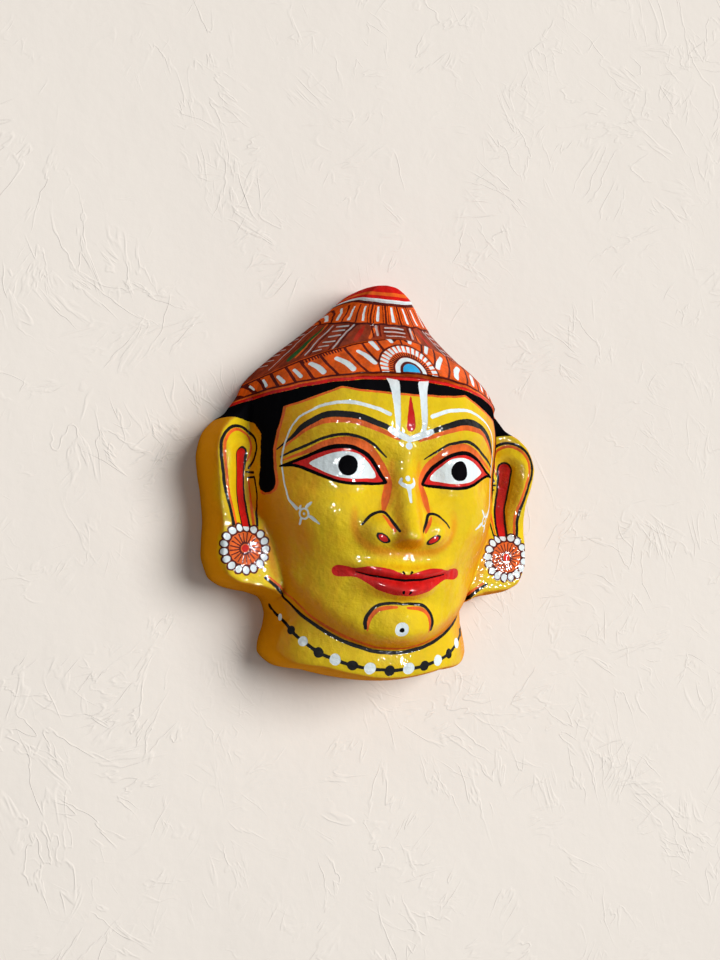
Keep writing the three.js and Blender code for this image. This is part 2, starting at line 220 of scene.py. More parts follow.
def lips(x, y):
    up = y - MOUTH.y - MOUTH.curl * (x / MOUTH.half) ** 2       # above the line between the lips
    sag = LOWER_LIP.below + LOWER_LIP.sag * step(LOWER_LIP.sag_from, 0, x)
    ridges = [lip.rise * np.exp(-(v / lip.half) ** 2) * step(lip.fade_from, lip.fade_to, x)
              for v, lip in ((up - UPPER_LIP.above, UPPER_LIP), (up + sag, LOWER_LIP))]
    groove = MOUTH.groove * np.exp(-(up / MOUTH.groove_half) ** 2)
    return sum(ridges) - groove * step(MOUTH.fade_from, MOUTH.fade_to, x)


def head(x, y):
    z = face_height(y) * dome(x / face_half(y), face_square(y), 0.5)
    for o in (BROW_RIDGE, SOCKET, TEMPLE, CHEEK, CHIN, CHIN_DENT):
        z = z + bump(x, y, o)
    o = EYEBALL
    ball = np.maximum(0, 1 - ((x - o.x) / o.half_width) ** 2 - ((y - o.y) / o.half_height) ** 2)
    return z + o.rise * ball ** o.roundness + nose(x, y) + lips(x, y)


def neck(x, y):
    half = NECK.upper_half + (NECK.foot_half - NECK.upper_half) * step(NECK.upper, NECK.foot, y)
    height = NECK.height - NECK.fall * step(NECK.foot, NECK.rim, y)
    return height * dome(x / half, NECK.square, 0.5) * step(NECK.hidden_from, NECK.hidden_to, y)


def ear(x, y):
    edge = EAR.rise + EAR.bulge * np.exp(-((y - EAR.bulge_y) / EAR.bulge_half) ** 2)
    z = EAR.inner + edge * step(EAR.at, EAR.to, x)
    to_lobe = step(LOBE.top_from, LOBE.top_to, y) * step(LOBE.root_from, LOBE.root_to, x)
    z = z + (LOBE.height - z) * to_lobe
    z = z + LOBE.dome * np.exp(-((x - LOBE.x) / LOBE.radius) ** 2 - ((y - LOBE.y) / LOBE.radius) ** 2)
    (ax, ay), (bx, by) = SLOT.top, SLOT.foot
    ux, uy = bx - ax, by - ay
    t = np.clip(((x - ax) * ux + (y - ay) * uy) / (ux * ux + uy * uy), 0, 1)
    d = np.hypot(x - ax - t * ux, y - ay - t * uy)
    ridge = SLOT.ridge * np.exp(-((d - SLOT.ridge_at) / SLOT.ridge_half) ** 2)
    hollow = SLOT.depth * step(SLOT.half + SLOT.soft, SLOT.half - SLOT.soft, d)
    z = z + (ridge - hollow) * step(SLOT.fade_from, SLOT.fade_to, y)
    z = z * step(EAR.root_from, EAR.root_to, x) * step(EAR.foot_from, EAR.foot_to, y)
    return np.where(y > EAR.top, 0, z)


def skin_form(x, y):
    n = neck(x, y)
    f = head(x, y)
    under_jaw = 1 - (1 - np.clip(from_jaw(x, y) / JAW.round, 0, 1)) ** JAW.fullness
    f = np.where(y < JAW.top, n + (f - n) * under_jaw, f)
    return blend(np.maximum(f, n), ear(x, y), WELD)


def hat_form(x, y):
    return (hat_height(y) * dome(x / hat_half(y), HAT_SQUARE.power, HAT_SQUARE.fullness)
            + BAND.rise * step(BAND.soft / 2, -BAND.soft / 2, from_band(x, y))
            + sum(o.rise * step(-o.soft / 2, o.soft / 2, above_step(x, y, o)) for o in (RING, KNOB)))


def form(x, y):
    """Height of the moulded form before its edge is rolled over."""
    x = np.abs(x)
    k = step(-BRIM.soft / 2, BRIM.soft / 2, from_brim(x, y))
    s, h = skin_form(x, y), hat_form(x, y)
    return s * (1 - k) + np.where(k < 1, np.maximum(h, s), h) * k


def ripple(x, y, length, seed):
    """Smooth waves of about that length, between about -1 and 1, always the same for one seed."""
    rng = np.random.default_rng(seed)
    total = 0
    for _ in range(5):
        turn, phase = rng.uniform(0, 2 * np.pi, 2)
        k = 2 * np.pi / length * rng.uniform(0.7, 1.4)
        total = total + np.sin(k * (x * np.cos(turn) + y * np.sin(turn)) + phase)
    return total / 3


def uneven(x, y, waves):
    return sum(rise * ripple(x, y, length, seed) for rise, length, seed in waves)


def edged(x, y):
    """Height of the form with its edge rolled over."""
    return form(x, y) * roll(inset_at(x, y) / RIM_ROUND)


def outer(x, y):
    """The same with the dents of a pressed and dried form."""
    return (form(x, y) + uneven(x, y, DENTS)) * roll(inset_at(x, y) / RIM_ROUND)


def inner(x, y):
    """The hollow keeps the shell's thickness: the form lowered by a ball of that radius."""
    z = form(x, y) - SHELL
    for share, count in BALL:
        r, fall = SHELL * share, SHELL * np.sqrt(1 - share * share)
        for i in range(count):
            a = 2 * np.pi * i / count
            z = np.minimum(z, form(x + r * np.cos(a), y + r * np.sin(a)) - fall)
    return np.maximum(0, z) * roll((inset_at(x, y) - SHELL) / INNER_ROUND)


# Brush strokes are distances in millimetres, positive inside, and never count below -REACH.
REACH = 3.0


def smooth(knots, parts=4, closed=False):
    """More points on a smooth line through the knots."""
    p = np.array(knots, float)
    before, after = (p[-1:], p[:2]) if closed else (2 * p[:1] - p[1:2], 2 * p[-1:] - p[-2:-1])
    q = np.concatenate([before, p, after])
    t = np.arange(parts)[:, None] / parts
    pieces = []
    for a, b, c, d in zip(q[:-3], q[1:-2], q[2:-1], q[3:]):
        pieces.append(0.5 * (2 * b + (c - a) * t + (2 * a - 5 * b + 4 * c - d) * t ** 2
                             + (3 * b - a - 3 * c + d) * t ** 3))
    if not closed:
        pieces.append(p[-1:])
    return np.concatenate(pieces)


def both(*shapes):
    return np.minimum.reduce(shapes)


def any_of(*shapes):
    return np.maximum.reduce(shapes)


def between(v, low, high):
    return np.minimum(v - low, high - v)


def line_at(v, middle, half):
    return half - np.abs(v - middle)


def nearest(v, places):
    """Distance from v to the nearest of the sorted places."""
    places = np.asarray(places, float)
    i = np.clip(np.searchsorted(places, v), 1, len(places) - 1)
    return np.minimum(np.abs(v - places[i - 1]), np.abs(v - places[i]))


class Canvas:
    """The places to be painted, folded onto the right half, and the shapes a brush leaves there."""

    def __init__(self, x, y):
        # the hand that painted it was not quite steady
        self.x = np.abs(x + uneven(x, y, HAND_ASIDE))
        self.y = y + uneven(x, y, HAND_UP)
        self.at = np.stack([self.x, self.y, edged(self.x, self.y)], 1)

    def near(self, points, margin):
        low, high = points[:, :2].min(0) - margin, points[:, :2].max(0) + margin
        return np.nonzero((self.at[:, :2] > low).all(1) & (self.at[:, :2] < high).all(1))[0]

    def stroke(self, knots):
        """A brush line through knots of x, y and half width, as wide as that on the surface."""
        points = smooth(knots)
        ends = np.column_stack([points[:, :2], edged(points[:, 0], points[:, 1])])
        use = self.near(points, REACH + points[:, 2].max())
        p = self.at[use]
        best = np.full(len(use), -REACH)
        for a, b, wide, wide_next in zip(ends[:-1], ends[1:], points[:-1, 2], points[1:, 2]):
            u = b - a
            t = np.clip((p - a) @ u / (u @ u + 1e-12), 0, 1)
            away = np.linalg.norm(p - a - t[:, None] * u, axis=1)
            best = np.maximum(best, wide + (wide_next - wide) * t - away)
        out = np.full(len(self.x), -REACH)
        out[use] = best
        return out

    def strokes(self, *lines):
        return any_of(*[self.stroke(line) for line in lines])

    def patch(self, knots, parts=4):
        """A filled shape inside a closed line, smooth or with straight sides."""
        points = np.array([k[:2] for k in knots], float)
        if parts > 1:
            points = smooth(points, parts, closed=True)
        use = self.near(points, REACH)
        px, py = self.x[use], self.y[use]
        d = np.full(len(use), 2 * REACH)
        inside = np.zeros(len(use), bool)
        for (ax, ay), (bx, by) in zip(points, np.roll(points, -1, 0)):
            ux, uy = bx - ax, by - ay
            t = np.clip(((px - ax) * ux + (py - ay) * uy) / (ux * ux + uy * uy + 1e-12), 0, 1)
            d = np.minimum(d, np.hypot(px - ax - t * ux, py - ay - t * uy))
            if ay != by:
                inside ^= ((ay > py) != (by > py)) & (px < ax + (py - ay) * ux / uy)
        out = np.full(len(self.x), -REACH)
        out[use] = np.where(inside, d, -d)
        return out

    def away(self, x, y):
        """Distance over the surface from one place on it."""
        middle = np.array([x, y, edged(np.array([x]), np.array([y]))[0]])
        return np.linalg.norm(self.at - middle, axis=1)

    def disc(self, x, y, r):
        return r - self.away(x, y)

    def ring(self, x, y, r, half):
        return line_at(self.away(x, y), r, half)

    def oval(self, x, y, long, short, lean):
        """An oval with the given half lengths, its long way leaning up to the side."""
        a = np.radians(lean)
        nx, ny = self.x - x, self.y - y
        along, across = nx * np.cos(a) + ny * np.sin(a), ny * np.cos(a) - nx * np.sin(a)
        return (1 - np.hypot(along / long, across / short)) * short


# The painting on one half; the other half mirrors it. Lines are knots of x, y and half width, filled
# shapes knots of x and y, dots x, y and radius, and ovals x, y, two half lengths and a lean in degrees.
HAIRLINE = [(-5, 51), (10, 51.2), (20, 51.8), (31, 52.4), (41, 54.3), (49, 51), (58, 47), (71, 41.8),
            (72.6, 35), (74.2, 28), (75, 16), (74.4, 4), (73.4, -4.5), (73.9, -8.4), (75.6, -10.6),
            (77.8, -11), (79.6, -9), (80.3, -5), (80.4, 26), (82.1, 30), (83.3, 33), (85, 34.2),
            (90, 35.7), (99, 36.7), (104, 36.6), (116, 34), (116, 74), (-5, 74)]
BROW = [(73.5, 15.5, .4), (68, 21.8, 1), (62, 29.2, 1.7), (53, 35.2, 2), (43, 36.7, 2.25), (33, 35.3, 2),
        (23, 31.9, 1.85), (14, 28.5, 1.5), (6, 22.8, .6)]
UNDER_BROW = [(70, 17, .5), (62, 26, 1.1), (53, 31.6, 1.5), (43, 32.9, 1.7), (33, 31.7, 1.6),
              (23, 28.4, 1.5), (14, 25.2, 1.3), (7, 22.2, .6)]
LID_LINE = [(71.5, 11.1, .6), (66, 14.4, .8), (59, 18, .9), (52, 21.6, .9), (46, 23.6, .95), (41, 24.3, 1),
            (34.5, 23.6, 1), (27.5, 21.5, .95), (20, 17.3, .85), (12.8, 11.9, .5)]
LID_SHADE = [(71, 8.6, .4), (60, 13.6, 1.3), (50, 18.5, 2), (40, 20.8, 2.4), (32, 19.6, 2.6),
             (25, 16.3, 2.6), (18.5, 10.6, 2.4), (13.4, 4.5, 2.2), (10.6, -1, 1.7)]
# painted shade: strokes of a deeper orange where shade falls on the nose's flanks, under the wings and down
# the cheeks
NOSE_PAINTED_SHADE = [(9, 9, 1.4), (9.2, 1, 3), (10, -7, 3.8), (11.6, -14, 3.8), (14.5, -20.5, 2.6)]
WING_PAINTED_SHADE = [(32.5, -21, 1.2), (32.6, -30, 2.6), (29, -38.5, 3), (21, -44, 3), (10, -46, 2.6),
             (0, -46.5, 2.6)]
CHEEK_PAINTED_SHADE = [(77, -16, 1), (76, -26, 2.4), (74, -40, 3), (71, -54, 2.6), (68, -62, 1.5)]
NOSE_SIDE = [(10.6, -1.5, 1.5), (10.8, -5, 2.3), (12, -10, 2.6), (13.4, -15.5, 2.3), (14.8, -21, 1.2)]
EYE_TOP = [(72, 5.2, .5), (64.5, 8.2, 1), (57.8, 11.7, 1.15), (51.1, 15, 1.25), (44, 17.1, 1.3),
           (37, 17.1, 1.3), (30.5, 15.1, 1.3), (24.5, 11.9, 1.3), (19.5, 7.3, 1.3), (15.6, 2.3, 1.3),
           (12, -3.6, 1)]
EYE_FOOT = [(71.5, 5.3, .6), (65, 5.5, .95), (58, 2.7, 1), (50, -1.4, 1), (43, -4, 1), (36, -5.1, 1),
            (28, -5, 1), (20, -4.5, 1), (12, -3.8, .9)]
SCLERA = [(57.5, 6.9), (52.2, 10.4), (47.2, 12.9), (41.6, 14.1), (36, 14), (30.5, 12.6), (26, 9.6),
          (22, 5.9), (18.6, 1.9), (18.9, -.8), (25, -1.8), (33, -2.3), (40.5, -1.8), (47.2, .2),
          (52.8, 3.1)]
PUPIL = (37, 5.7, 6.2)
ARC = [(13.9, 37.6, 1.35), (22, 40.9, 1.25), (30, 43, 1.2), (37, 44.1, 1.15), (44, 44, 1.05),
       (52, 41.9, .9), (58, 39.3, .75), (63, 35.7, .65), (66.6, 31, .6), (69, 25.3, .6), (70.3, 17.6, .6),
       (70.9, 9, .6), (70.3, 0, .55), (69.2, -8, .55), (67.5, -15, .6), (65.4, -18.4, 1),
       (63.6, -20.8, 1.2)]
STAR_RING = (59.9, -24.1, 3.2, .6)
STAR_DOT = (59.9, -24.1, .9)
STAR_RAYS = [[(59, -20, 1), (57.6, -18.4, 1), (56.8, -17.4, .7)],
             [(57, -25.8, 1), (55.2, -27.3, 1.1), (51.8, -30, .35)],
             [(61.2, -27.4, .8), (61.6, -30.4, .7)], [(62.2, -20.6, .9), (61.8, -19.2, .7)]]
TILAK_BAR = [(6.2, 58.7), (7.3, 59.8), (14, 60.7), (12.9, 57.4), (11.9, 53), (11.5, 50), (10.9, 40),
             (10.3, 30), (9.6, 26.4), (7.3, 26.4), (7.1, 30), (6.6, 40), (6.3, 50), (6, 55)]
TILAK_TOP = -1.4      # measured from the brim
TILAK_CUP = [(13.5, 28.2, 1.8), (11, 27, 2.1), (5.5, 24.9, 2.2), (0, 22.9, 1.7)]
TILAK_DOT = (0, 19.2, 2.2)
DROP = [(0, 49.2, .4), (0, 44, 1.3), (0, 38, 2.2), (0, 32, 2.9), (0, 30.6, 2.9)]
ORNAMENT = [(4.2, -1.2, .9), (4.8, -3.5, 1.15), (2.9, -5.2, 1.35), (0, -5.9, 1.45)]
ORNAMENT_TAIL = [(0, -6, 1.9), (0, -9, 1.25), (0, -12.5, 1.05), (0, -15.4, .9)]
ORNAMENT_DOT = (0, -.9, 1.85)
WING_LINE = [(28.6, -29.8, .8), (25.2, -26, .95), (21.2, -23, 1), (17, -21.8, 1), (14, -22.5, 1),
             (12.2, -25.3, 1), (10, -29.6, 1.05), (7.6, -33.6, .9)]
WING_SHADE = [(15.6, -24, .6), (12.8, -28.6, 1.3), (9.9, -33.4, 1)]
NOSTRIL = (16.5, -37.9, 5.1, 2.4, 28)
NOSTRIL_RIM = .8
LIPS = [(42.2, -57.9), (41, -55.3), (38, -54.4), (34, -55.1), (30, -56.1), (24, -55.1), (17, -55.4),
        (10, -56.6), (4.5, -58.6), (0, -59.8), (-4.5, -58.6), (-4.5, -72.5), (0, -72.6), (6, -72.2),
        (12, -71), (17, -69), (21, -66.4), (25.5, -63.7), (30, -61.8), (34, -61.5), (38, -61.6),
        (41, -60.5)]
MOUTH_LINE = [(28.9, -58.5, .45), (20, -60.5, .75), (10, -62.1, .85), (0, -63.1, .85)]
LIP_TICKS = [[(2.1, -59.2, .6), (2.9, -58.1, .8)], [(2, -71.2, .7), (2.4, -70, .95)]]
CHIN_ARC = [(21.5, -92.5, 1.1), (22, -88, 1.3), (20.5, -83.5, 1.2), (16.5, -79.3, 1.1), (11.5, -77.4, 1),
            (5, -77, .9), (0, -77.8, .8)]
CHIN_SHADE = [(20.2, -94, .5), (20, -89, 1), (18.4, -84.4, 1.3), (14.4, -81, 1.3), (9, -79.5, 1.2),
              (3.5, -79.6, .8)]
CHIN_DOT = (0, -93, 4.6)
CHIN_MIDDLE = (0, -93.2, 1.8, 1.5, 0)
JAW_LINE = [(75.3, -63.8, .9), (69, -68, 1.1), (62.5, -74, 1.2), (56, -81.6, 1.2), (50, -88, 1.2),
            (40, -95.6, 1.2), (30, -101, 1.2), (20, -104.8, 1.2), (10, -107.1, 1.2), (0, -107.8, 1.2)]
JAW_SHADE = [(73, -63, .6), (66.6, -67.6, .8), (60, -74, .9), (54, -80.6, 1), (48.4, -86.4, 1.2),
             (39, -93.2, 1.4), (29.4, -98.4, 1.5), (19.6, -102.2, 1.5), (9.8, -104.6, 1.5),
             (0, -105.3, 1.5)]
THREAD = [(64, -81.5, 1.1), (61.3, -88, 1.1), (57.5, -95.5, 1.1), (52, -102, 1.1),
          (43.8, -108.5, 1.1), (34.5, -112.6, 1.1), (23.9, -116, 1.1), (12.9, -117.9, 1.1), (0, -119, 1.1)]
BLACK_BEADS = [(0, -119, 3.6), (23.9, -116, 3.4), (43.8, -108.5, 3.3), (57.5, -95.5, 2.9),
               (64, -81.6, 2.2)]
WHITE_BEADS = [(12.9, -117.6, 3.8), (34.5, -112.6, 3.6), (52, -102, 3.3), (61.3, -88, 2.5)]
EAR_LOOP = [(85, 4.8, .8), (82.9, 10, .9), (82, 19, .9), (83.6, 25.6, .95), (87.4, 29.2, 1), (93, 30.7, 1),
            (99.4, 28.9, 1), (104, 24.6, 1), (106.2, 18.5, 1), (106.2, 11, 1), (104.8, 3.5, 1),
            (102.3, -8, 1), (98.8, -19.5, 1), (96.6, -32, 1)]
EAR_SHADE = [(86.2, 9.5, .5), (84.6, 14, .7), (84.2, 20, .8), (85.9, 24.8, .9), (89, 27.2, 1),
             (93.5, 28.4, 1), (98.4, 26.9, 1), (102.2, 23.2, 1), (104.1, 18, 1), (104.1, 11, .9),
             (102.7, 3.5, .9), (100.3, -8, .9), (96.9, -19.5, .9), (94.8, -32, .8)]
EAR_INNER_LINE = [(82.2, -1, .8), (81.2, -8, .8), (80.7, -15, .8), (80.6, -25, .8), (81, -33, .8)]
EAR_INNER_SHADE = [(84.4, -3, .6), (83.4, -12, .8), (83, -22, .9), (82.8, -33, .9)]
EAR_STRIP = [(91.4, 13, 4), (91, 3, 3.2), (90.3, -7, 2.7), (89.2, -17, 2.4), (88, -32, 2.1)]
EAR_STRIP_RIM = 1.4
EAR_PAINT_FOOT = -32
# where the painted shade is held back on the ear
EAR_WITHOUT_PAINTED_SHADE = (93, 3, 34, 14, 90)
EAR_TICKS = [[(86.4, 2.4, .6), (82.6, 2, .8)], [(85.4, -1, .55), (82.2, -.8, .75)]]
# the last size is the radius round the earring that is kept free of painted shade
EARRING = Size(x=89.2, y=-45.8, beads=17, at=13.4, bead=2.05, squash=.86, rim=.95, disc=10.6,
               disc_edge=.3, rays=20, ray=.38, ray_end=1, middle=2.2, middle_ring=3.3, ring_half=.6,
               unwashed=17.5)
CONE_WHITE = [[(0, 96.4, .7), (6, 96.4, .6)], [(0, 93.6, .6), (6.8, 93.6, .5)],
              [(0, 90.8, .4), (6.6, 90.8, .3)], [(11.4, 97.3, .8), (12, 90.5, .7)],
              [(23.7, 98.3, .6), (31.8, 89.6, .7), (39.8, 80.6, .5)],
              [(26.7, 97.8, .7), (32.1, 97.6, .6)], [(29.2, 94.7, .7), (35.2, 94.3, .6)],
              [(32.5, 91.1, .7), (38.2, 90.2, .6)], [(36.5, 86.9, .7), (42, 86.3, .6)],
              [(40.7, 83.5, .7), (45.5, 82.8, .6)], [(45.2, 80.7, .6), (49.5, 79.5, .5)],
              [(33.8, 98.8, .6), (44, 88, .6), (54.1, 77.3, .5)],
              [(36.6, 103, .5), (46.5, 93.8, .6), (59.9, 81.2, .6), (72.9, 68.5, .5)],
              [(44.9, 96, .6), (47, 96.4, .6)], [(48.9, 92.6, .6), (51.5, 92.9, .6)],
              [(53.6, 88.6, .6), (56, 88.9, .6)], [(58.3, 84.5, .6), (60.5, 84.8, .6)],
              [(62.6, 80.6, .6), (64.7, 81.2, .5)], [(66.8, 76.6, .5), (68.8, 77.2, .5)],
              [(71, 72.6, .5), (73, 73, .4)]]
CONE_RUST = [[(22.2, 98.7, .7), (30.4, 89.6, .8), (38.2, 80.4, .6)],
             [(25.4, 98.2, .5), (33.4, 89.6, .6), (41.6, 80.2, .5)],
             [(32.2, 98.8, .5), (42.4, 88, .6), (52.4, 77, .5)],
             [(35.4, 99.4, .5), (45.7, 88.4, .5), (56, 77.5, .5)],
             [(44.9, 93.4, .5), (58.4, 80.8, .5), (71.2, 68.6, .4)],
             [(9.4, 98, .6), (10.2, 90, .5)], [(13.8, 98, .6), (14.8, 89, .5)],
             [(0, 95, .45), (7.6, 95, .4)], [(0, 92.2, .4), (8, 92.2, .35)],
             *[[(x, 97.4 - 0.82 * (x - 43), .45), (x + 2.2, 97.4 - 0.82 * (x - 43), .4)]
               for x in (43.2, 47.6, 52, 56.4, 60.8, 65.2)]]
CONE_ORANGE = [[(35.2, 101, .9), (47, 88.6, .9), (59, 75.6, .7)], [(13, 95, 1.4), (17, 88.5, 1)]]
CONE_GREEN = [[(37.8, 98.6, .8), (44.2, 92, 1.7), (50.4, 86.3, 2.1), (57.6, 79.3, 2.3), (62.2, 74.6, 2)]]
CONE_RED = [[(18.8, 97, .8), (22, 92, 1.8), (25.6, 87.4, 1.3)]]
PETAL_DASHES = [[(28, 78, 1.3), (24, 74.2, 1.7), (21, 69.5, 1.6)],
                [(41, 73, 1.6), (37, 69.5, 2), (34.5, 65, 2)],
                [(54.5, 70, 1.5), (51.8, 67, 1.9), (50, 63, 1.7)], [(63.5, 66, 1.2), (61.5, 61, 1.4)],
                [(72, 62, 1.1), (70, 58, 1.3)], [(78.5, 60.5, .9), (78, 56, 1)],
                [(83.4, 58, .7), (83, 54.6, .7)], [(18.8, 85.2, 1.5), (16.2, 79.6, 1.2)],
                [(7.2, 88, 1.5), (6.2, 85.6, 1.2)]]
PETAL_SEAMS = [0, 5, 14, 26.5, 42.8, 55.3, 64.5, 72.8, 78.8, 83.2, 87, 91, 95, 100]
PETALS = Size(foot=1.2, least_height=4, bend=1.6, seam=.75, top_at=.4, top_half=.6, hatch=.45,
              hatch_every=1.9, hatch_foot=3, hatch_from=36, hatch_to=58)
PETAL_LEAN = [(0, 0), (9, 8), (19, 10.5), (31, 8.5), (45.5, 6), (57.3, 3.7), (65.8, 2.3), (73.8, 1.7),
              (84, .8), (120, 0)]
FLUTES = Size(from_y=155, foot=.7, top=14.3, seams=(-5.2, 5.2, 14.9, 22.8, 28.5, 32.3, 35, 37.3),
              seam=.7, thin_by=50, thinnest=.3, side_at=1.7, side_half=.25, side_to=20,
              marks=(0, 10.6, 19.2, 26, 30.6, 33.7, 36.2), mark=1.15, slimmer_up=.03,
              slimmer_aside=.018, mark_foot=2.2, mark_top=13)
# rays have a number, a half width and the distances where they start and end
MEDALLION = Size(y=64.4, r=19.8, middle=5.6, rust_ring=7.2, white_ring=9.9, line_at=10.6, line_half=.5,
                 edge=.4, edge_half=.7, rust_rays=(26, .4, 10.6, 13.6), white_rays=(17, .95, 14, 18.6))
# lines along the hat, from and to, measured up from the brim or from the foot of the knob
BRIM_LINES = Size(red=(-2.6, -.6), orange=(-.7, .5), rust=(.5, 1.7))
KNOB_LINES = Size(rust=(-2.4, -.4), white=(-.4, 1.6), orange=(4, 6.4), orange_to=20)
RING_LINE = Size(at=.3, half=.6, wave=.3, length=1.6)
CONE_FOOT = .4
HAIR_LINE = Size(width=1.25, to=79.5)


def petals(c):
    """Slanting petals on the front band of the hat. Returns their dark lines."""
    o = PETALS
    up, down = from_brim(c.x, c.y) - o.foot, -from_band(c.x, c.y)
    height = np.maximum(up + down, o.least_height)
    v = np.clip(up / height, 0, 1)
    lean_at = curve(PETAL_LEAN)
    lean = lean_at(c.x)
    bend = 1 - (1 - v) ** o.bend
    foot = c.x - lean * bend
    tilt = (lean_at(c.x + 0.5) - lean_at(c.x - 0.5)) * bend
    grade = np.hypot(1 - tilt, lean * o.bend * (1 - v) ** (o.bend - 1) / height)
    seam = nearest(foot, PETAL_SEAMS) / grade
    hatch = o.hatch - np.abs((foot / o.hatch_every) % 1 - 0.5) * o.hatch_every / grade
    hatch = both(hatch, o.hatch_foot - down, between(c.x, o.hatch_from, o.hatch_to))
    return any_of(o.seam - seam, hatch, line_at(down, o.top_at, o.top_half))


def medallion(c):
    """Half a flower on the front of the band. Returns its ground, rust, white and blue."""
    o = MEDALLION
    r = np.hypot(c.x, c.y - o.y)
    turn = np.arctan2(c.y - o.y, c.x)

    def rays(count, half, start, end):
        away = r * np.abs((turn * count / np.pi) % 1 - 0.5) * np.pi / count
        return both(half - away, between(r, start, end))
    white = any_of(between(r, o.rust_ring, o.white_ring), rays(*o.white_rays))
    rust = any_of(between(r, o.middle, o.rust_ring), line_at(r, o.line_at, o.line_half),
                  line_at(r, o.r - o.edge, o.edge_half), rays(*o.rust_rays))
    return o.r - r, rust, white, o.middle - r


def fluted_ring(c):
    """The ring under the knob. Returns its dark seams and its white marks."""
    o = FLUTES
    r = np.hypot(c.x, o.from_y - c.y)
    turn = np.degrees(np.arctan2(c.x, o.from_y - c.y))
    seam = r * np.radians(nearest(turn, o.seams))
    thin = np.clip(1 - turn / o.thin_by, o.thinnest, 1)
    side = both(line_at(seam, o.side_at, o.side_half), o.side_to - turn)
    up = above_step(c.x, c.y, RING)
    wide = o.mark - o.slimmer_up * up - o.slimmer_aside * turn
    mark = both(wide - r * np.radians(nearest(turn, o.marks)), between(up, o.mark_foot, o.mark_top))
    return any_of(o.seam * thin - seam, side), mark


def earring(c):
    """Beads round a rayed disc. Returns its ground, dark lines, beads, middle and the skin round it kept
    free of painted shade.
    """
    o = EARRING
    r = c.away(o.x, o.y)
    turn = np.arctan2(c.y - o.y, c.x - o.x)

    def part(n):
        return ((turn * n / (2 * np.pi)) % 1 - 0.5) * 2 * np.pi / n
    from_bead = np.hypot(o.squash * (r * np.cos(part(o.beads)) - o.at), r * np.sin(part(o.beads)))
    bead = o.bead - from_bead
    rays = both(o.ray - r * np.abs(part(o.rays)), between(r, o.middle_ring, o.disc - o.ray_end))
    dark = any_of(bead + o.rim, between(r, o.disc - o.disc_edge, o.at), rays,
                  line_at(r, o.middle_ring, o.ring_half))
    return any_of(o.disc - r, bead + o.rim), dark, bead, o.middle - r, o.unwashed - r


LAYERS = ("painted_shade", "clear", "hat", "cone_dust_and_shade", "hair", "blue", "orange", "rust", "black", "green", "white",
          "red", "ink")
SOFT = 2     # the first two layers, the painted shade and where it is held back, only tint the skin, with soft edges
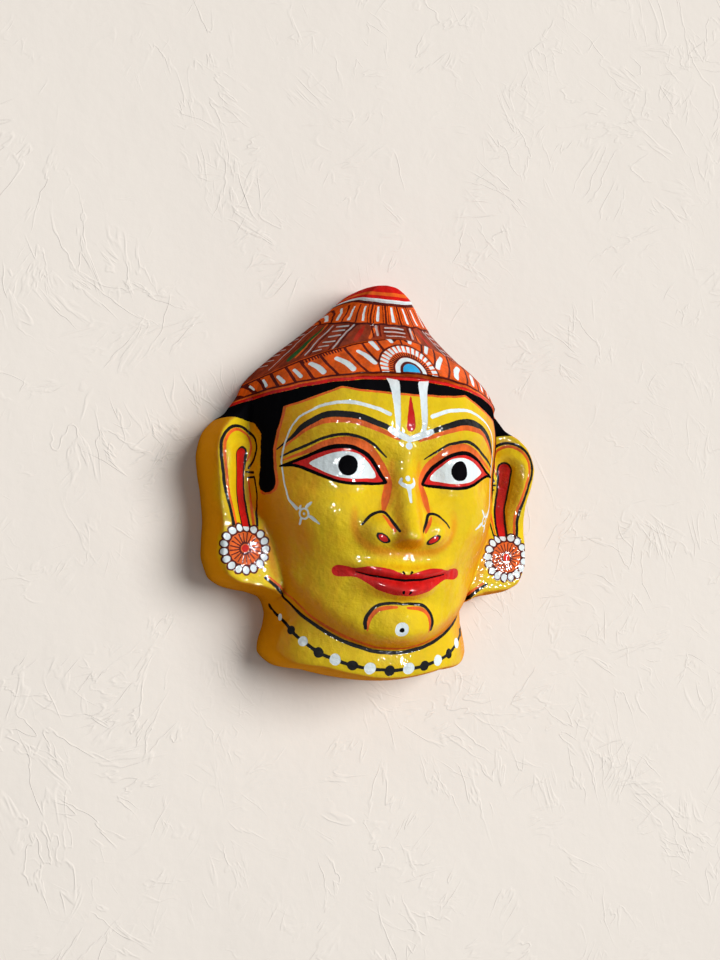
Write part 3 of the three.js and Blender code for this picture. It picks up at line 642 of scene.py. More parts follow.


def paint(x, y):
    """Distances into each layer of paint, in the order in which the layers are painted."""
    c = Canvas(x, y)
    brim, band = from_brim(c.x, c.y), from_band(c.x, c.y)
    ring, knob = above_step(c.x, c.y, RING), above_step(c.x, c.y, KNOB)
    on_cone = both(band - CONE_FOOT, -ring)
    on_ring = both(between(ring, FLUTES.foot, FLUTES.top), -knob)
    on_band = both(brim - PETALS.foot, -band)
    medal, medal_rust, medal_white, medal_blue = medallion(c)
    on_medal, on_petals = both(on_band, medal), both(on_band, -medal)
    flute_seams, flute_marks = fluted_ring(c)
    ear_ground, ear_dark, ear_beads, ear_middle, ear_without_painted_shade = earring(c)

    below_hat = BRIM_LINES.red[0] - brim
    hairline = c.patch(HAIRLINE, 1)
    hair_edge = both(between(hairline, -HAIR_LINE.width, 0), below_hat, HAIR_LINE.to - c.x)
    strip = c.stroke(EAR_STRIP)
    above_bead = c.y - EAR_PAINT_FOOT
    sclera = c.patch(SCLERA)
    eye = c.patch(EYE_TOP + EYE_FOOT[-2:0:-1])
    nostril = c.oval(*NOSTRIL)
    tilak = both(c.patch(TILAK_BAR, 1), TILAK_TOP - brim)
    knob_stripe = both(between(knob, *KNOB_LINES.orange), KNOB_LINES.orange_to - c.x)
    ring_wave = ring + RING_LINE.wave * np.sin(c.x / RING_LINE.length)

    made = {
        # painted shade on the nose's flanks, under the wings and down the cheek sides
        "painted_shade": c.strokes(NOSE_PAINTED_SHADE, WING_PAINTED_SHADE, CHEEK_PAINTED_SHADE),
        # where the painted shade is held back, on the ear and round the earring
        "clear": any_of(c.oval(*EAR_WITHOUT_PAINTED_SHADE), ear_without_painted_shade),
        "hat": brim - BRIM_LINES.red[1],
        # the cone's darker ground: partly its dust, partly painted shade where the cone faces up and away
        "cone_dust_and_shade": on_cone,
        "hair": both(hairline, below_hat),
        "blue": both(on_medal, medal_blue),
        "orange": any_of(
            hair_edge, between(brim, *BRIM_LINES.orange), both(c.stroke(EAR_SHADE), above_bead), ear_ground,
            c.strokes(UNDER_BROW, LID_SHADE, NOSE_SIDE, WING_SHADE, CHIN_SHADE, JAW_SHADE,
                      EAR_INNER_SHADE, *CONE_ORANGE), knob_stripe),
        "rust": any_of(
            both(on_petals, petals(c)), both(on_medal, medal_rust), both(on_ring, flute_seams), ear_dark,
            both(on_cone, c.strokes(*CONE_RUST)), between(brim, *BRIM_LINES.rust),
            line_at(ring_wave, RING_LINE.at, RING_LINE.half), between(knob, *KNOB_LINES.rust)),
        "black": any_of(
            c.strokes(BROW, LID_LINE, WING_LINE, CHIN_ARC, JAW_LINE, THREAD, *EAR_TICKS), nostril,
            both(any_of(strip + EAR_STRIP_RIM, c.strokes(EAR_LOOP, EAR_INNER_LINE)), above_bead),
            *[c.disc(*bead) for bead in BLACK_BEADS]),
        "green": both(on_cone, c.strokes(*CONE_GREEN)),
        "white": any_of(
            both(on_petals, c.strokes(*PETAL_DASHES)), both(on_medal, medal_white),
            both(on_cone, c.strokes(*CONE_WHITE)), both(on_ring, flute_marks),
            between(knob, *KNOB_LINES.white), sclera, ear_beads, tilak, c.ring(*STAR_RING),
            c.strokes(ARC, *STAR_RAYS, TILAK_CUP, ORNAMENT, ORNAMENT_TAIL),
            *[c.disc(*dot) for dot in (STAR_DOT, TILAK_DOT, ORNAMENT_DOT, CHIN_DOT, *WHITE_BEADS)]),
        "red": any_of(
            both(between(brim, *BRIM_LINES.red), -tilak), both(eye, -sclera), c.patch(LIPS),
            c.stroke(DROP), both(strip, above_bead), nostril - NOSTRIL_RIM, ear_middle,
            both(on_cone, c.strokes(*CONE_RED)), both(knob - KNOB_LINES.white[1], -knob_stripe)),
        "ink": any_of(c.strokes(EYE_TOP, EYE_FOOT, MOUTH_LINE, *LIP_TICKS), c.disc(*PUPIL),
                      c.oval(*CHIN_MIDDLE)),
    }
    return np.stack([np.clip(made[k], -REACH, REACH) for k in LAYERS], 1)


# The shell's mesh: rings of points, then edges split wherever the form or the paint needs it. A side
# has the turns in degrees that its rim rolls through, points in a ring, and rings to its middle.
OUT, IN, FLAT = 0, 1, 2
SIDES = {
    OUT: Size(height=outer, inset=0.0, round=RIM_ROUND, turns=(0, 15, 30, 46, 62, 78, 90), count=224,
              rings=30),
    IN: Size(height=inner, inset=SHELL, round=INNER_ROUND, turns=(0, 30, 60, 90), count=112, rings=15),
}


class Shell:
    """Points of the shell and, for points near the rim, their angle and how far they roll over."""

    def __init__(self):
        self.at = np.zeros((0, 3))
        self.angle = np.zeros(0)
        self.turn = np.zeros(0)
        self.faces = np.zeros((0, 3), int)
        self.side = np.zeros(0, int)

    def place(self, side, x, y, angle, turn):
        """Heights for points given by angle and roll near the rim, and by x and y elsewhere."""
        x, y, z = x.copy(), y.copy(), np.zeros(len(x))
        for name, facts in SIDES.items():
            mine = side == name
            rim = mine & ~np.isnan(turn)
            inset = facts.inset + facts.round * (1 - np.cos(np.radians(turn[rim])))
            x[rim], y[rim] = rim_point(angle[rim], inset)
            z[mine] = facts.height(x[mine], y[mine])
        z[turn == 0] = 0
        return np.stack([x, y, z], 1)

    def add(self, side, x, y, angle, turn):
        first = len(self.at)
        self.at = np.concatenate([self.at, self.place(np.full(len(x), side), x, y, angle, turn)])
        self.angle = np.concatenate([self.angle, angle])
        self.turn = np.concatenate([self.turn, turn])
        return np.arange(first, len(self.at))

    def stitch(self, a, b, flip, side):
        """Triangles between two rings of any counts."""
        faces = []
        n, m, i, j = len(a), len(b), 0, 0
        while i < n or (j < m and m > 1):
            first, second = a[i % n], b[j % m]
            take = m == 1 or (i < n and (j >= m or (i + 1) / n <= (j + 1) / m))
            third = a[(i + 1) % n] if take else b[(j + 1) % m]
            i, j = (i + 1, j) if take else (i, j + 1)
            faces.append((first, second, third) if flip else (first, third, second))
        self.faces = np.concatenate([self.faces, np.array(faces)])
        self.side = np.concatenate([self.side, np.full(len(faces), side)])

    def build(self, side, flip):
        facts = SIDES[side]
        rings = []
        for turn in facts.turns:
            a = np.arange(facts.count) * 2 * np.pi / facts.count
            rings.append(self.add(side, 0 * a, 0 * a, a, np.full(len(a), float(turn))))
        for k in range(1, facts.rings + 1):
            share = 1 - k / facts.rings
            count = max(1, int(round(facts.count * share / 8)) * 8)
            a = np.arange(count) * 2 * np.pi / count
            x, y = rim_point(a, facts.inset + facts.round)
            none = np.full(count, np.nan)
            rings.append(self.add(side, x * share, CENTRE_Y + (y - CENTRE_Y) * share, none, none))
        for a, b in zip(rings[:-1], rings[1:]):
            self.stitch(a, b, flip, side)
        return rings[0]

    def strays(self, side, p, q, half, mid, length, coarse, painted):
        """Which edges stray too far from the form, or pass over the edge of some paint."""
        off = np.linalg.norm(mid - half, axis=1)
        wrong = np.zeros(len(p), bool)
        for name, rule in FORM_RULES.items():
            wrong |= (side == name) & (off > rule.error * coarse) & (length > 2 * rule.shortest)
        if painted:
            look = np.nonzero((side == OUT) & (length > 2 * PAINT_RULE.shortest))[0]
            use, where = np.unique(np.concatenate([p[look], q[look]]), return_inverse=True)
            ends = paint(self.at[use, 0], self.at[use, 1])[where, SOFT:]
            a, b = ends[:len(look)], ends[len(look):]
            true = paint(mid[look, 0], mid[look, 1])[:, SOFT:]
            close = np.minimum(np.abs(true), np.minimum(np.abs(a), np.abs(b))) < PAINT_RULE.near
            crossing = (np.sign(a) != np.sign(b)) | (np.sign(true) != np.sign(a))
            off = np.abs(true - (a + b) / 2) > PAINT_RULE.error * coarse
            wrong[look] |= (off & (close | crossing)).any(1)
        return wrong

    def refine(self, coarse, painted):
        """Splits the edges that stray, and keeps the mesh closed."""
        f = self.faces
        pairs = np.sort(np.stack([f, np.roll(f, -1, 1)], 2).reshape(-1, 2), 1)
        edges, own = np.unique(pairs, axis=0, return_inverse=True)
        own = own.reshape(-1, 3)
        side = np.full(len(edges), FLAT)
        np.minimum.at(side, own.ravel(), np.repeat(self.side, 3))
        p, q = edges.T
        length = np.linalg.norm(self.at[p] - self.at[q], axis=1)
        turn_by = np.arctan2(np.sin(self.angle[q] - self.angle[p]), np.cos(self.angle[q] - self.angle[p]))
        rim = ~np.isnan(turn_by)
        angle = np.where(rim, self.angle[p] + turn_by / 2, np.nan)
        turn = np.where(rim, (self.turn[p] + self.turn[q]) / 2, np.nan)
        half = (self.at[p] + self.at[q]) / 2
        free = side != FLAT
        mid = half.copy()
        mid[free] = self.place(side[free], half[free, 0], half[free, 1], angle[free], turn[free])
        split = np.zeros(len(edges), bool)
        split[free] = self.strays(side[free], p[free], q[free], half[free], mid[free], length[free],
                                  coarse, painted)
        # the longest edge of a triangle is split with any other of its edges, so none gets thin
        while True:
            longest = own[np.arange(len(f)), np.argmax(length[own], 1)]
            more = np.unique(longest[split[own].any(1) & ~split[longest] & free[longest]])
            if not len(more):
                break
            split[more] = True
        index = np.full(len(edges), -1)
        index[split] = np.arange(split.sum()) + len(self.at)
        self.at = np.concatenate([self.at, mid[split]])
        self.angle = np.concatenate([self.angle, angle[split]])
        self.turn = np.concatenate([self.turn, turn[split]])
        self.cut(own, index, split[own], length)

    def cut(self, own, index, cut, length):
        """Makes the new triangles, turned so that the first edge is cut and the last one is not."""
        count = cut.sum(1)
        after_whole = np.where(count == 2, (np.argmin(cut, 1) + 1) % 3, 0)
        first = np.where(count == 1, np.argmax(cut, 1), after_whole)
        rows = np.arange(len(count))
        a, b, c = [self.faces[rows, (first + k) % 3] for k in range(3)]
        edge = [own[rows, (first + k) % 3] for k in range(3)]
        ab, bc, ca = [index[k] for k in edge]
        longer = length[edge[0]] > length[edge[1]]
        two, other = (count == 2) & longer, (count == 2) & ~longer
        parts = [(count == 0, (a, b, c)), (count == 1, (a, ab, c)), (count == 1, (ab, b, c)),
                 (count >= 2, (ab, b, bc)), (two, (a, ab, c)), (two, (ab, bc, c)), (other, (a, ab, bc)),
                 (other, (a, bc, c)), (count == 3, (a, ab, ca)), (count == 3, (ca, bc, c)),
                 (count == 3, (ab, bc, ca))]
        self.faces = np.concatenate([np.stack(corners, 1)[mine] for mine, corners in parts])
        self.side = np.concatenate([self.side[mine] for mine, _ in parts])


# How closely the mesh follows the form and the edges of the paint, in millimetres.
FORM_RULES = {OUT: Size(error=0.04, shortest=0.9), IN: Size(error=0.2, shortest=2.5)}
PAINT_RULE = Size(error=0.09, near=0.9, shortest=0.32)
FORM_ROUNDS, PAINT_ROUNDS = 3, 5
SHARP = np.radians(62)

# The flat map: a table of the way along the outside, and where each side lies on the square.
UNROLL = Size(turns=360, steps=300, bend=2.2)
OUTSIDE_ON_MAP = Size(left=0.005, wide=0.70, tall=0.99)
HOLLOW_ON_MAP = Size(left=0.71, wide=0.28, tall=0.6)
MAP_FOOT = 0.005


def unrolled(at):
    """Places on a flat map of the outside, by the length of the way from the middle."""
    turns = np.linspace(-np.pi, np.pi, UNROLL.turns + 1)
    share = 1 - (1 - np.linspace(0, 1, UNROLL.steps + 1)) ** UNROLL.bend
    a, s = np.meshgrid(turns, share, indexing="ij")
    r = radius(a) * s
    z = outer(r * np.sin(a), CENTRE_Y + r * np.cos(a))
    z[:, -1] = 0
    way = np.cumsum(np.hypot(np.diff(r, axis=1), np.diff(z, axis=1)), 1)
    way = np.concatenate([np.zeros((len(turns), 1)), way], 1)
    x, y = at[:, 0], at[:, 1] - CENTRE_Y
    angle = np.arctan2(x, y)
    i = (angle + np.pi) / (2 * np.pi) * UNROLL.turns
    j = 1 - (1 - np.clip(np.hypot(x, y) / radius(angle), 0, 1)) ** (1 / UNROLL.bend)
    j = j * UNROLL.steps
    i0 = np.clip(i.astype(int), 0, UNROLL.turns - 1)
    j0 = np.clip(j.astype(int), 0, UNROLL.steps - 1)
    u, v = i - i0, j - j0
    length = (way[i0, j0] * (1 - u) * (1 - v) + way[i0 + 1, j0] * u * (1 - v)
              + way[i0, j0 + 1] * (1 - u) * v + way[i0 + 1, j0 + 1] * u * v)
    return np.stack([length * np.sin(angle), length * np.cos(angle)], 1)


def flat_map(shell):
    """Corner places on the square map: the outside and the flat rim large, the hollow small."""
    spread = unrolled(shell.at)
    inside_rim = inset_at(shell.at[:, 0], shell.at[:, 1]) > SHELL / 2
    lip = (shell.turn == 0) & inside_rim
    a = np.arctan2(shell.at[lip, 0], shell.at[lip, 1] - CENTRE_Y)
    edge = unrolled(np.stack([radius(a) * np.sin(a), CENTRE_Y + radius(a) * np.cos(a), 0 * a], 1))
    spread[lip] = edge * (1 + SHELL / np.linalg.norm(edge, axis=1, keepdims=True))
    place = np.zeros((len(shell.faces), 3, 2))
    hollow = shell.side == IN
    for mine, points, part in ((~hollow, spread, OUTSIDE_ON_MAP), (hollow, shell.at[:, :2], HOLLOW_ON_MAP)):
        p = points[shell.faces[mine]]
        low, high = p.reshape(-1, 2).min(0), p.reshape(-1, 2).max(0)
        scale = min(part.wide / (high - low)[0], part.tall / (high - low)[1])
        place[mine] = (p - low) * scale + (part.left, MAP_FOOT)
    return place.reshape(-1, 2)


def make_mesh(coarse):
    """The shell as a mesh, with its flat map and its distances into each layer of paint."""
    shell = Shell()
    outline = shell.build(OUT, False)
    hollow = shell.build(IN, True)
    shell.stitch(outline, hollow, True, FLAT)
    for k in range(FORM_ROUNDS + PAINT_ROUNDS):
        shell.refine(coarse, painted=k >= FORM_ROUNDS)
    mesh = bpy.data.meshes.new("painted_mask")
    at = shell.at + (0, SHIFT_Y, 0)
    corners = shell.faces.size
    mesh.vertices.add(len(at))
    mesh.vertices.foreach_set("co", (at * MM).astype(np.float32).ravel())
    mesh.loops.add(corners)
    mesh.loops.foreach_set("vertex_index", shell.faces.astype(np.int32).ravel())
    mesh.polygons.add(len(shell.faces))
    mesh.polygons.foreach_set("loop_start", np.arange(0, corners, 3, dtype=np.int32))
    mesh.polygons.foreach_set("loop_total", np.full(len(shell.faces), 3, np.int32))
    mesh.polygons.foreach_set("material_index", (shell.side != OUT).astype(np.int32))
    mesh.update()
    mesh.polygons.foreach_set("use_smooth", np.ones(len(shell.faces), bool))
    mesh.set_sharp_from_angle(angle=SHARP)
    uv = mesh.uv_layers.new(name="OFBake")
    uv.data.foreach_set("uv", flat_map(shell).astype(np.float32).ravel())
    values = paint(shell.at[:, 0], shell.at[:, 1])
    for k, name in enumerate(LAYERS):
        attribute = mesh.attributes.new("paint_" + name, "FLOAT", "POINT")
        attribute.data.foreach_set("value", values[:, k].astype(np.float32))
    mesh.validate()
    return mesh


class Nodes:
    """A short hand for making shader nodes and joining them."""

    def __init__(self, name):
        self.material = bpy.data.materials.new(name)
        self.material.use_nodes = True
        self.tree = self.material.node_tree
        self.tree.nodes.clear()
        self.output = self.add("ShaderNodeOutputMaterial")
        self.object = self.add("ShaderNodeTexCoord").outputs["Object"]

    def add(self, kind, inputs=(), **settings):
        node = self.tree.nodes.new(kind)
        for key, value in settings.items():
            setattr(node, key, value)
        for key, value in dict(inputs).items():
            self.put(node.inputs[key], value)
        return node

    def put(self, socket, value):
        if isinstance(value, bpy.types.NodeSocket):
            self.tree.links.new(value, socket)
        else:
            socket.default_value = value

    def math(self, operation, a, b=0.0):
        return self.add("ShaderNodeMath", {0: a, 1: b}, operation=operation).outputs[0]

    def attribute(self, name):
        return self.add("ShaderNodeAttribute", attribute_name=name).outputs["Fac"]

    def sum(self, *values):
        total = values[0]
        for value in values[1:]:
            total = self.math("ADD", total, value)
        return total

    def times(self, a, b):
        return self.math("MULTIPLY", a, b)

    def noise(self, scale, detail=2.0, roughness=0.5, stretch=None, where=None, distortion=0.0):
        where = self.object if where is None else where
        if stretch:
            where = self.add("ShaderNodeMapping", {"Vector": where, "Scale": stretch}).outputs[0]
        sizes = {"Scale": scale, "Detail": detail, "Roughness": roughness, "Distortion": distortion}
        return self.add("ShaderNodeTexNoise", {"Vector": where, **sizes}).outputs["Fac"]

    def ramp(self, value, low, high, to_low=0.0, to_high=1.0):
        return self.add("ShaderNodeMapRange", {"Value": value, "From Min": low, "From Max": high,
                                               "To Min": to_low, "To Max": to_high},
                        interpolation_type="SMOOTHSTEP").outputs["Result"]

    def mix(self, amount, a, b):
        node = self.add("ShaderNodeMix", data_type="RGBA")
        factor, first, second = node.inputs[0], node.inputs[6], node.inputs[7]
        for socket, value in ((factor, amount), (first, a), (second, b)):
            self.put(socket, value)
        return node.outputs[2]

    def brushed(self, colour, depth, noise):
        return self.mix(noise, shade(colour, 1 - depth), shade(colour, 1 + depth / 2))

    def relief(self, *heights):
        """The normal of a surface with the sum of those heights, in millimetres."""
        inputs = {"Height": self.sum(*heights), "Distance": MM, "Strength": 1.0}
        return self.add("ShaderNodeBump", inputs).outputs[0]

    def finish(self, **inputs):
        """Gives the surface its values, with the shader's own names written in small letters."""
        names = {key.replace("_", " ").title().replace("Ior", "IOR"): value
                 for key, value in inputs.items()}
        shader = self.add("ShaderNodeBsdfPrincipled", names)
        self.put(self.output.inputs["Surface"], shader.outputs[0])
        return self.material


def shade(colour, factor):
    return (*[min(1, c * factor) for c in colour], 1)


def painted_paper(colours):
    n = Nodes("painted_paper")
    wobble = n.times(n.math("SUBTRACT", n.noise(620, 3), 0.5), 0.5)
    mottled = n.ramp(n.noise(38, 4, 0.6), 0.3, 0.7)
    streaks = n.ramp(n.noise(150, 4, 0.6, (1, 0.3, 1)), 0.3, 0.7)
    marks = n.noise(430, 3, 0.55, (1, 0.4, 1))
    normal = n.add("ShaderNodeNewGeometry").outputs["Normal"]
    facing = n.add("ShaderNodeSeparateXYZ", {0: normal}).outputs[2]
    # painted shade: a deeper warm orange stands in for the shade where the sides turn away, but less on
    # the ears, and more along the strokes of painted shade on the nose, under the wings and the cheeks
    patchy = n.times(n.math("SUBTRACT", n.noise(85, 5, 0.65, (1, 0.5, 1)), 0.5), 0.5)
    turned = n.ramp(n.math("ADD", facing, patchy), 0.9, 0.46, 0.0, 0.95)
    turned = n.times(turned, n.ramp(n.attribute("paint_clear"), -2.5, 2.5, 1.0, 0.3))
    # strokes of painted shade
    painted_shade_amount = n.ramp(n.sum(n.attribute("paint_painted_shade"), n.times(patchy, 6)), -2.4, 2.4, 0.0, 0.75)
    skin = n.mix(mottled, shade(colours.skin, 0.84), shade(colours.skin, 1.02))
    skin = n.mix(n.times(streaks, 0.3), skin, shade(colours.skin_warm, 1))
    # the yellow turns to the deeper orange of the painted shade
    colour = n.mix(n.math("MAXIMUM", turned, painted_shade_amount), skin, shade(colours.skin_painted_shade, 1))
    # colour, strength of the brush's streaks, and height of the paint in millimetres
    kinds = {"hat": (colours.petal, .35, 0), "cone_dust_and_shade": (colours.cone_dust_and_shade, .45, 0),
             "hair": (colours.black, .2, .03), "blue": (colours.blue, .15, 0),
             "orange": (colours.orange, .25, .05), "rust": (colours.rust, .4, .05),
             "black": (colours.black, .3, .10), "green": (colours.green, .4, .03),
             "white": (colours.white, .1, .13), "red": (colours.red, .25, .07),
             "ink": (colours.black, .3, .08)}
    heights = []
    masks = {}
    for name in LAYERS[SOFT:]:
        edge = n.sum(n.attribute("paint_" + name), wobble)
        tone, depth, raised = kinds[name]
        masks[name] = n.ramp(edge, -0.09, 0.09)
        amount = masks[name]
        if name in ("white", "red"):
            # these are dulled on the upper hat, partly by its dust and partly as painted shade
            dust_and_shade_dulling = n.times(masks["cone_dust_and_shade"], n.ramp(streaks, 0.1, 0.9, 0.35, 0.6))
            amount = n.times(amount, n.math("SUBTRACT", 1.0, dust_and_shade_dulling))
        colour = n.mix(amount, colour, n.brushed(tone, depth, streaks))
        if raised:
            heights.append(n.ramp(edge, -0.15, 0.45, 0.0, raised))
    raised_paint = n.sum(*heights)
    matt = n.math("MAXIMUM", masks["hair"], masks["ink"])
    matt = n.math("MAXIMUM", matt, n.times(masks["hat"], 0.5))
    gloss = n.times(n.ramp(facing, 0.3, 0.8, 0.04, 1.0), n.math("SUBTRACT", 1.0, matt))
    pebbled = n.sum(n.times(n.noise(90, 3), 0.35), n.times(n.noise(260, 3, 0.6), 0.7))
    rippled = n.sum(n.times(n.noise(90, 2), 0.25), n.times(n.noise(210, 1, 0.4), 0.9))
    return n.finish(base_color=colour, roughness=0.6, specular_ior_level=n.times(gloss, 0.1),
                    coat_weight=n.times(gloss, colours.gloss), coat_roughness=0.03,
                    normal=n.relief(pebbled, raised_paint, n.times(marks, 0.05)),
                    coat_normal=n.relief(rippled, n.times(raised_paint, 0.6)))


def raw_paper(colours):
    """Torn strips of paper pasted crosswise, with the paste dried on them."""
    n = Nodes("raw_paper_strips")
    crosswise = {"Vector": n.object, "Rotation": (0, 0, 0.5), "Scale": (1, 2.6, 1)}
    turned = n.add("ShaderNodeMapping", crosswise)
    strips = {"Vector": turned.outputs[0], "Scale": 26.0, "Randomness": 0.8}
    cells = n.add("ShaderNodeTexVoronoi", strips)
    ways = n.add("ShaderNodeTexVoronoi", strips, feature="DISTANCE_TO_EDGE")
    tone = n.add("ShaderNodeSeparateColor", {0: cells.outputs["Color"]}).outputs[0]
    pulp = n.noise(420, 5, 0.65)
    colour = n.mix(tone, shade(colours.paper, 0.72), shade(colours.paper, 1))
    colour = n.mix(n.ramp(pulp, 0.35, 0.75, 0, 0.5), colour, shade(colours.paper, 0.55))
    overlap = n.ramp(ways.outputs["Distance"], 0.0, 0.05, 0.35, 0.0)
    colour = n.mix(overlap, colour, shade(colours.paper, 0.4))
    return n.finish(base_color=colour, roughness=0.9,
                    normal=n.relief(n.times(tone, 0.35), n.times(pulp, 0.12), n.times(overlap, -0.35)))


def pale_plaster(colour):
    """Plaster smoothed by hand, with faint ridges left by the trowel."""
    n = Nodes("pale_plaster")
    cloud = n.ramp(n.noise(2.5, 4), 0.3, 0.7)
    base = n.mix(cloud, shade(colour, 0.97), shade(colour, 1))
    strokes = []
    for k, turn in enumerate((0.3, 1.0, 1.9, 2.6)):
        way = {"Vector": n.object, "Location": (k, 0, 0), "Rotation": (0, 0, turn), "Scale": (1, 3, 1)}
        turned = n.add("ShaderNodeMapping", way, vector_type="TEXTURE").outputs[0]
        fine = n.noise(60, 3, where=turned, distortion=0.5)
        line = n.ramp(n.math("ABSOLUTE", n.math("SUBTRACT", fine, 0.5)), 0.0, 0.03, 1.0, 0.0)
        patch = n.noise(13 + 2 * k, 2, 0.5, (1, 1, 1 + k))
        strokes.append(n.times(line, n.ramp(patch, 0.53, 0.64, 0.0, 0.22)))
    uneven_ground = n.times(n.noise(14, 4, 0.55), 1.5)
    grain = n.times(n.noise(170, 4, 0.6), 0.12)
    return n.finish(base_color=base, roughness=0.85, normal=n.relief(*strokes, uneven_ground, grain))


def colour_property(name, description, default):
    return FloatVectorProperty(name=name, description=description, subtype="COLOR", size=3, min=0, max=1,
                               default=default)


class MaskPaintColours(bpy.types.PropertyGroup):
    coarse: FloatProperty(name="Coarseness", description="1 follows every stroke; larger is coarser",
                          default=1.0, min=0.5, max=8)
    gloss: FloatProperty(name="Gloss", description="Strength of the lacquer", default=0.35, min=0, max=1)
    skin: colour_property("Skin", "Bright yellow ground of the face", (0.80, 0.575, 0.004))
    skin_warm: colour_property("Warm skin", "Deeper brush marks in the yellow", (0.76, 0.44, 0.008))
    # painted shade: the deeper orange that stands in for the shade on the sides of the face and nose
    skin_painted_shade: colour_property("Deep skin", "Wash on the sides of the face", (0.74, 0.26, 0.0015))
    petal: colour_property("Petals", "Orange ground of the hat", (0.78, 0.10, 0.004))
    # the cone's darker ground, partly its dust and partly painted shade
    cone_dust_and_shade: colour_property("Cone", "Dusty ground of the upper hat", (0.30, 0.040, 0.012))
    orange: colour_property("Orange", "Shading lines on the face", (0.80, 0.13, 0.014))
    rust: colour_property("Rust", "Dark lines on the hat", (0.10, 0.006, 0.003))
    black: colour_property("Black", "Brows, eye lines and hair", (0.004, 0.004, 0.005))
    white: colour_property("White", "Eyes, marks and beads", (0.76, 0.86, 0.89))
    red: colour_property("Red", "Lips, eye rims and hat edge", (0.64, 0.007, 0.005))
    blue: colour_property("Blue", "Middle of the hat flower", (0.03, 0.42, 0.80))
    green: colour_property("Green", "Stripe on the hat", (0.03, 0.12, 0.03))
    paper: colour_property("Paper", "Bare paper in the hollow", (0.42, 0.36, 0.27))


class MaskStageSizes(bpy.types.PropertyGroup):
    distance: FloatProperty(name="Camera distance", description="From the middle of the rim",
                            default=0.95, unit="LENGTH")
    aside: FloatProperty(name="Turn", description="How far the camera stands to the left",
                         default=np.radians(20), subtype="ANGLE")
    tip: FloatProperty(name="Tip", description="How far the camera stands towards the crown",
                       default=np.radians(-4), subtype="ANGLE")
    twist: FloatProperty(name="Roll", description="Roll of the camera", default=np.radians(1.5),
                         subtype="ANGLE")
    lens: FloatProperty(name="Lens", description="Focal length on a 36 mm side", default=53.44)
    floor: FloatProperty(name="Floor", description="Side of the floor", default=6.0, unit="LENGTH")
    plaster: colour_property("Floor colour", "Pale plaster", (0.80, 0.75, 0.69))
    key: FloatProperty(name="Key light", description="Power of the key light in watts",
                       default=4350.0)
    spark: FloatProperty(name="Small lights", description="Power of each small light in watts",
                         default=8.0)
    air: FloatProperty(name="Room light", description="Strength of the even light around", default=0.19)


class MASK_OT_painted_shell(bpy.types.Operator):
    """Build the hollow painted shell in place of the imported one"""
    bl_idname = "mask.painted_shell"
    bl_label = "Painted Shell"

    def execute(self, context):
        colours = context.scene.mask_paint_colours
        piece = bpy.data.objects.new("painted_mask", make_mesh(colours.coarse))
        context.scene.collection.objects.link(piece)
        piece.data.materials.append(painted_paper(colours))
        piece.data.materials.append(raw_paper(colours))
        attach(piece, "root")
        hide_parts("mask_shell")
        return {"FINISHED"}


# Where the lights stand, in metres to the right of, above and in front of the mask's middle.
KEY = Size(place=(15.5, 4.8, 10.6), size=12.5, colour=(1, 0.98, 0.96))
GLINTS = Size(places=[(0.66, -0.32, 0.8), (0.82, 0.02, 0.72), (-0.13, 0.26, 0.96)], size=0.13,
              colour=(1, 1, 1))
AIMED_AT = Vector((0, 0, 0.05))      # halfway up the face
AIR_COLOUR = (0.97, 0.98, 1, 1)
FRAME = Size(sensor=36, near=0.05, far=20, shift=5 / 960)


def lamp(name, where, size, power, colour):
    """A round light that shines on the face. Returns it."""
    data = bpy.data.lights.new(name, "AREA")
    data.shape = "DISK"
    data.size = size
    data.energy = power
    data.color = colour
    light = bpy.data.objects.new(name, data)
    bpy.context.scene.collection.objects.link(light)
    light.location = where
    light.rotation_euler = (AIMED_AT - where).to_track_quat("-Z", "Y").to_euler()
    return light


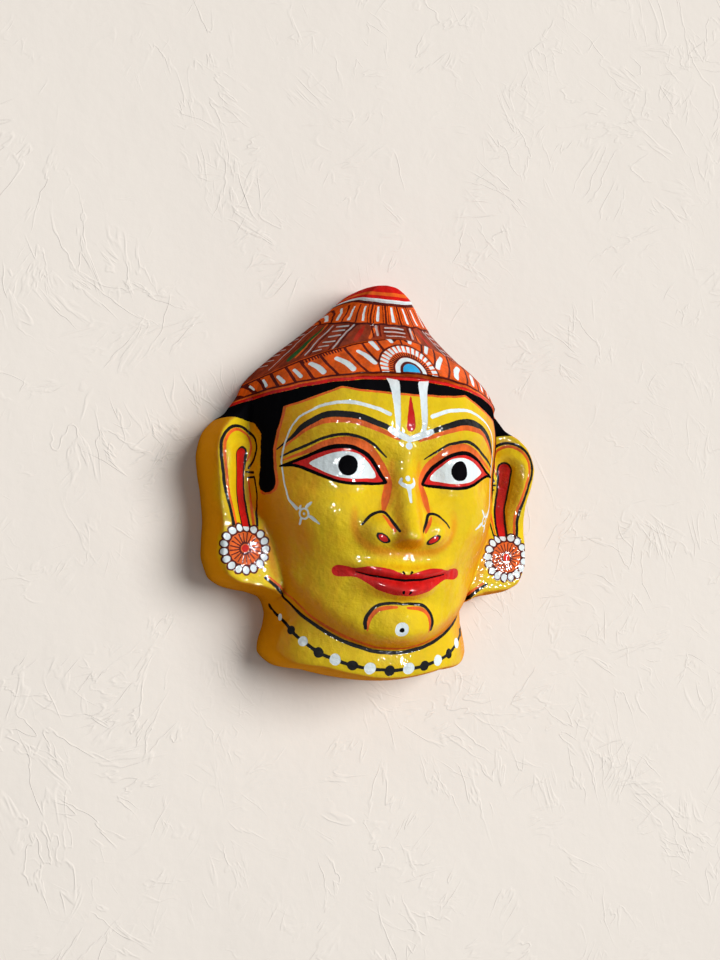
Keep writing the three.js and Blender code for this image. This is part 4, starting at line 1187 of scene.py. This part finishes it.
class MASK_OT_stage(bpy.types.Operator):
    """Lay a pale floor, set soft lights and stand the camera where the photograph was taken from"""
    bl_idname = "mask.stage"
    bl_label = "Stage"

    def execute(self, context):
        s = context.scene.mask_stage_sizes
        half = s.floor / 2
        mesh = bpy.data.meshes.new("floor")
        mesh.from_pydata([(-half, -half, 0), (half, -half, 0), (half, half, 0), (-half, half, 0)], [],
                         [(0, 1, 2, 3)])
        floor = bpy.data.objects.new("floor", mesh)
        context.scene.collection.objects.link(floor)
        mesh.materials.append(pale_plaster(s.plaster))

        back = Vector((-np.sin(s.aside) * np.cos(s.tip), np.sin(s.tip),
                       np.cos(s.aside) * np.cos(s.tip)))
        right = Vector((np.cos(s.aside), 0, np.sin(s.aside)))
        up = back.cross(right)
        across = right * np.cos(s.twist) + up * np.sin(s.twist)
        upward = up * np.cos(s.twist) - right * np.sin(s.twist)
        data = bpy.data.cameras.new("camera")
        data.lens = s.lens
        data.sensor_width = FRAME.sensor
        data.clip_start, data.clip_end = FRAME.near, FRAME.far
        data.shift_y = FRAME.shift      # the picture's middle is a little above the mask's
        camera = bpy.data.objects.new("camera", data)
        context.scene.collection.objects.link(camera)
        middle = Vector((0, SHIFT_Y * MM, 0))
        turn = Matrix((across, upward, back)).transposed().to_4x4()
        camera.matrix_world = Matrix.Translation(middle + back * s.distance) @ turn
        context.scene.camera = camera

        def seen(aside, over, before):
            return middle + across * aside + upward * over + back * before
        # a broad light from the right models the form, and small ones only glint in the lacquer
        key = lamp("key", seen(*KEY.place), KEY.size, s.key, KEY.colour)
        key.visible_glossy = False
        for i, place in enumerate(GLINTS.places):
            glint = lamp("glint_%d" % i, seen(*place), GLINTS.size, s.spark, GLINTS.colour)
            glint.visible_diffuse = False
        world = bpy.data.worlds.new("room")
        world.use_nodes = True
        air = world.node_tree.nodes["Background"].inputs
        air["Color"].default_value = AIR_COLOUR
        air["Strength"].default_value = s.air
        context.scene.world = world
        context.scene.view_settings.view_transform = "Standard"
        return {"FINISHED"}


class MASK_PT_sidebar(bpy.types.Panel):
    """Sizes, colours and the steps that build the mask"""
    bl_label = "Papier-mache Mask"
    bl_idname = "MASK_PT_sidebar"
    bl_space_type = "VIEW_3D"
    bl_region_type = "UI"
    bl_category = "Mask"

    def draw(self, context):
        groups = {"mask_paint_colours": "mask.painted_shell", "mask_stage_sizes": "mask.stage"}
        for group, button in groups.items():
            settings = getattr(context.scene, group)
            column = self.layout.column()
            for name in type(settings).__annotations__:
                column.prop(settings, name)
            column.operator(button)


CLASSES = (MaskPaintColours, MaskStageSizes, MASK_OT_painted_shell, MASK_OT_stage, MASK_PT_sidebar)
GROUPS = {"mask_paint_colours": MaskPaintColours, "mask_stage_sizes": MaskStageSizes}


def register():
    for each in CLASSES:
        bpy.utils.register_class(each)
    for name, kind in GROUPS.items():
        setattr(bpy.types.Scene, name, PointerProperty(type=kind))


def unregister():
    for name in GROUPS:
        delattr(bpy.types.Scene, name)
    for each in reversed(CLASSES):
        bpy.utils.unregister_class(each)


def main():
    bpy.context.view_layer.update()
    register()
    bpy.ops.mask.painted_shell()
    bpy.ops.mask.stage()


if __name__ == "__main__":
    main()
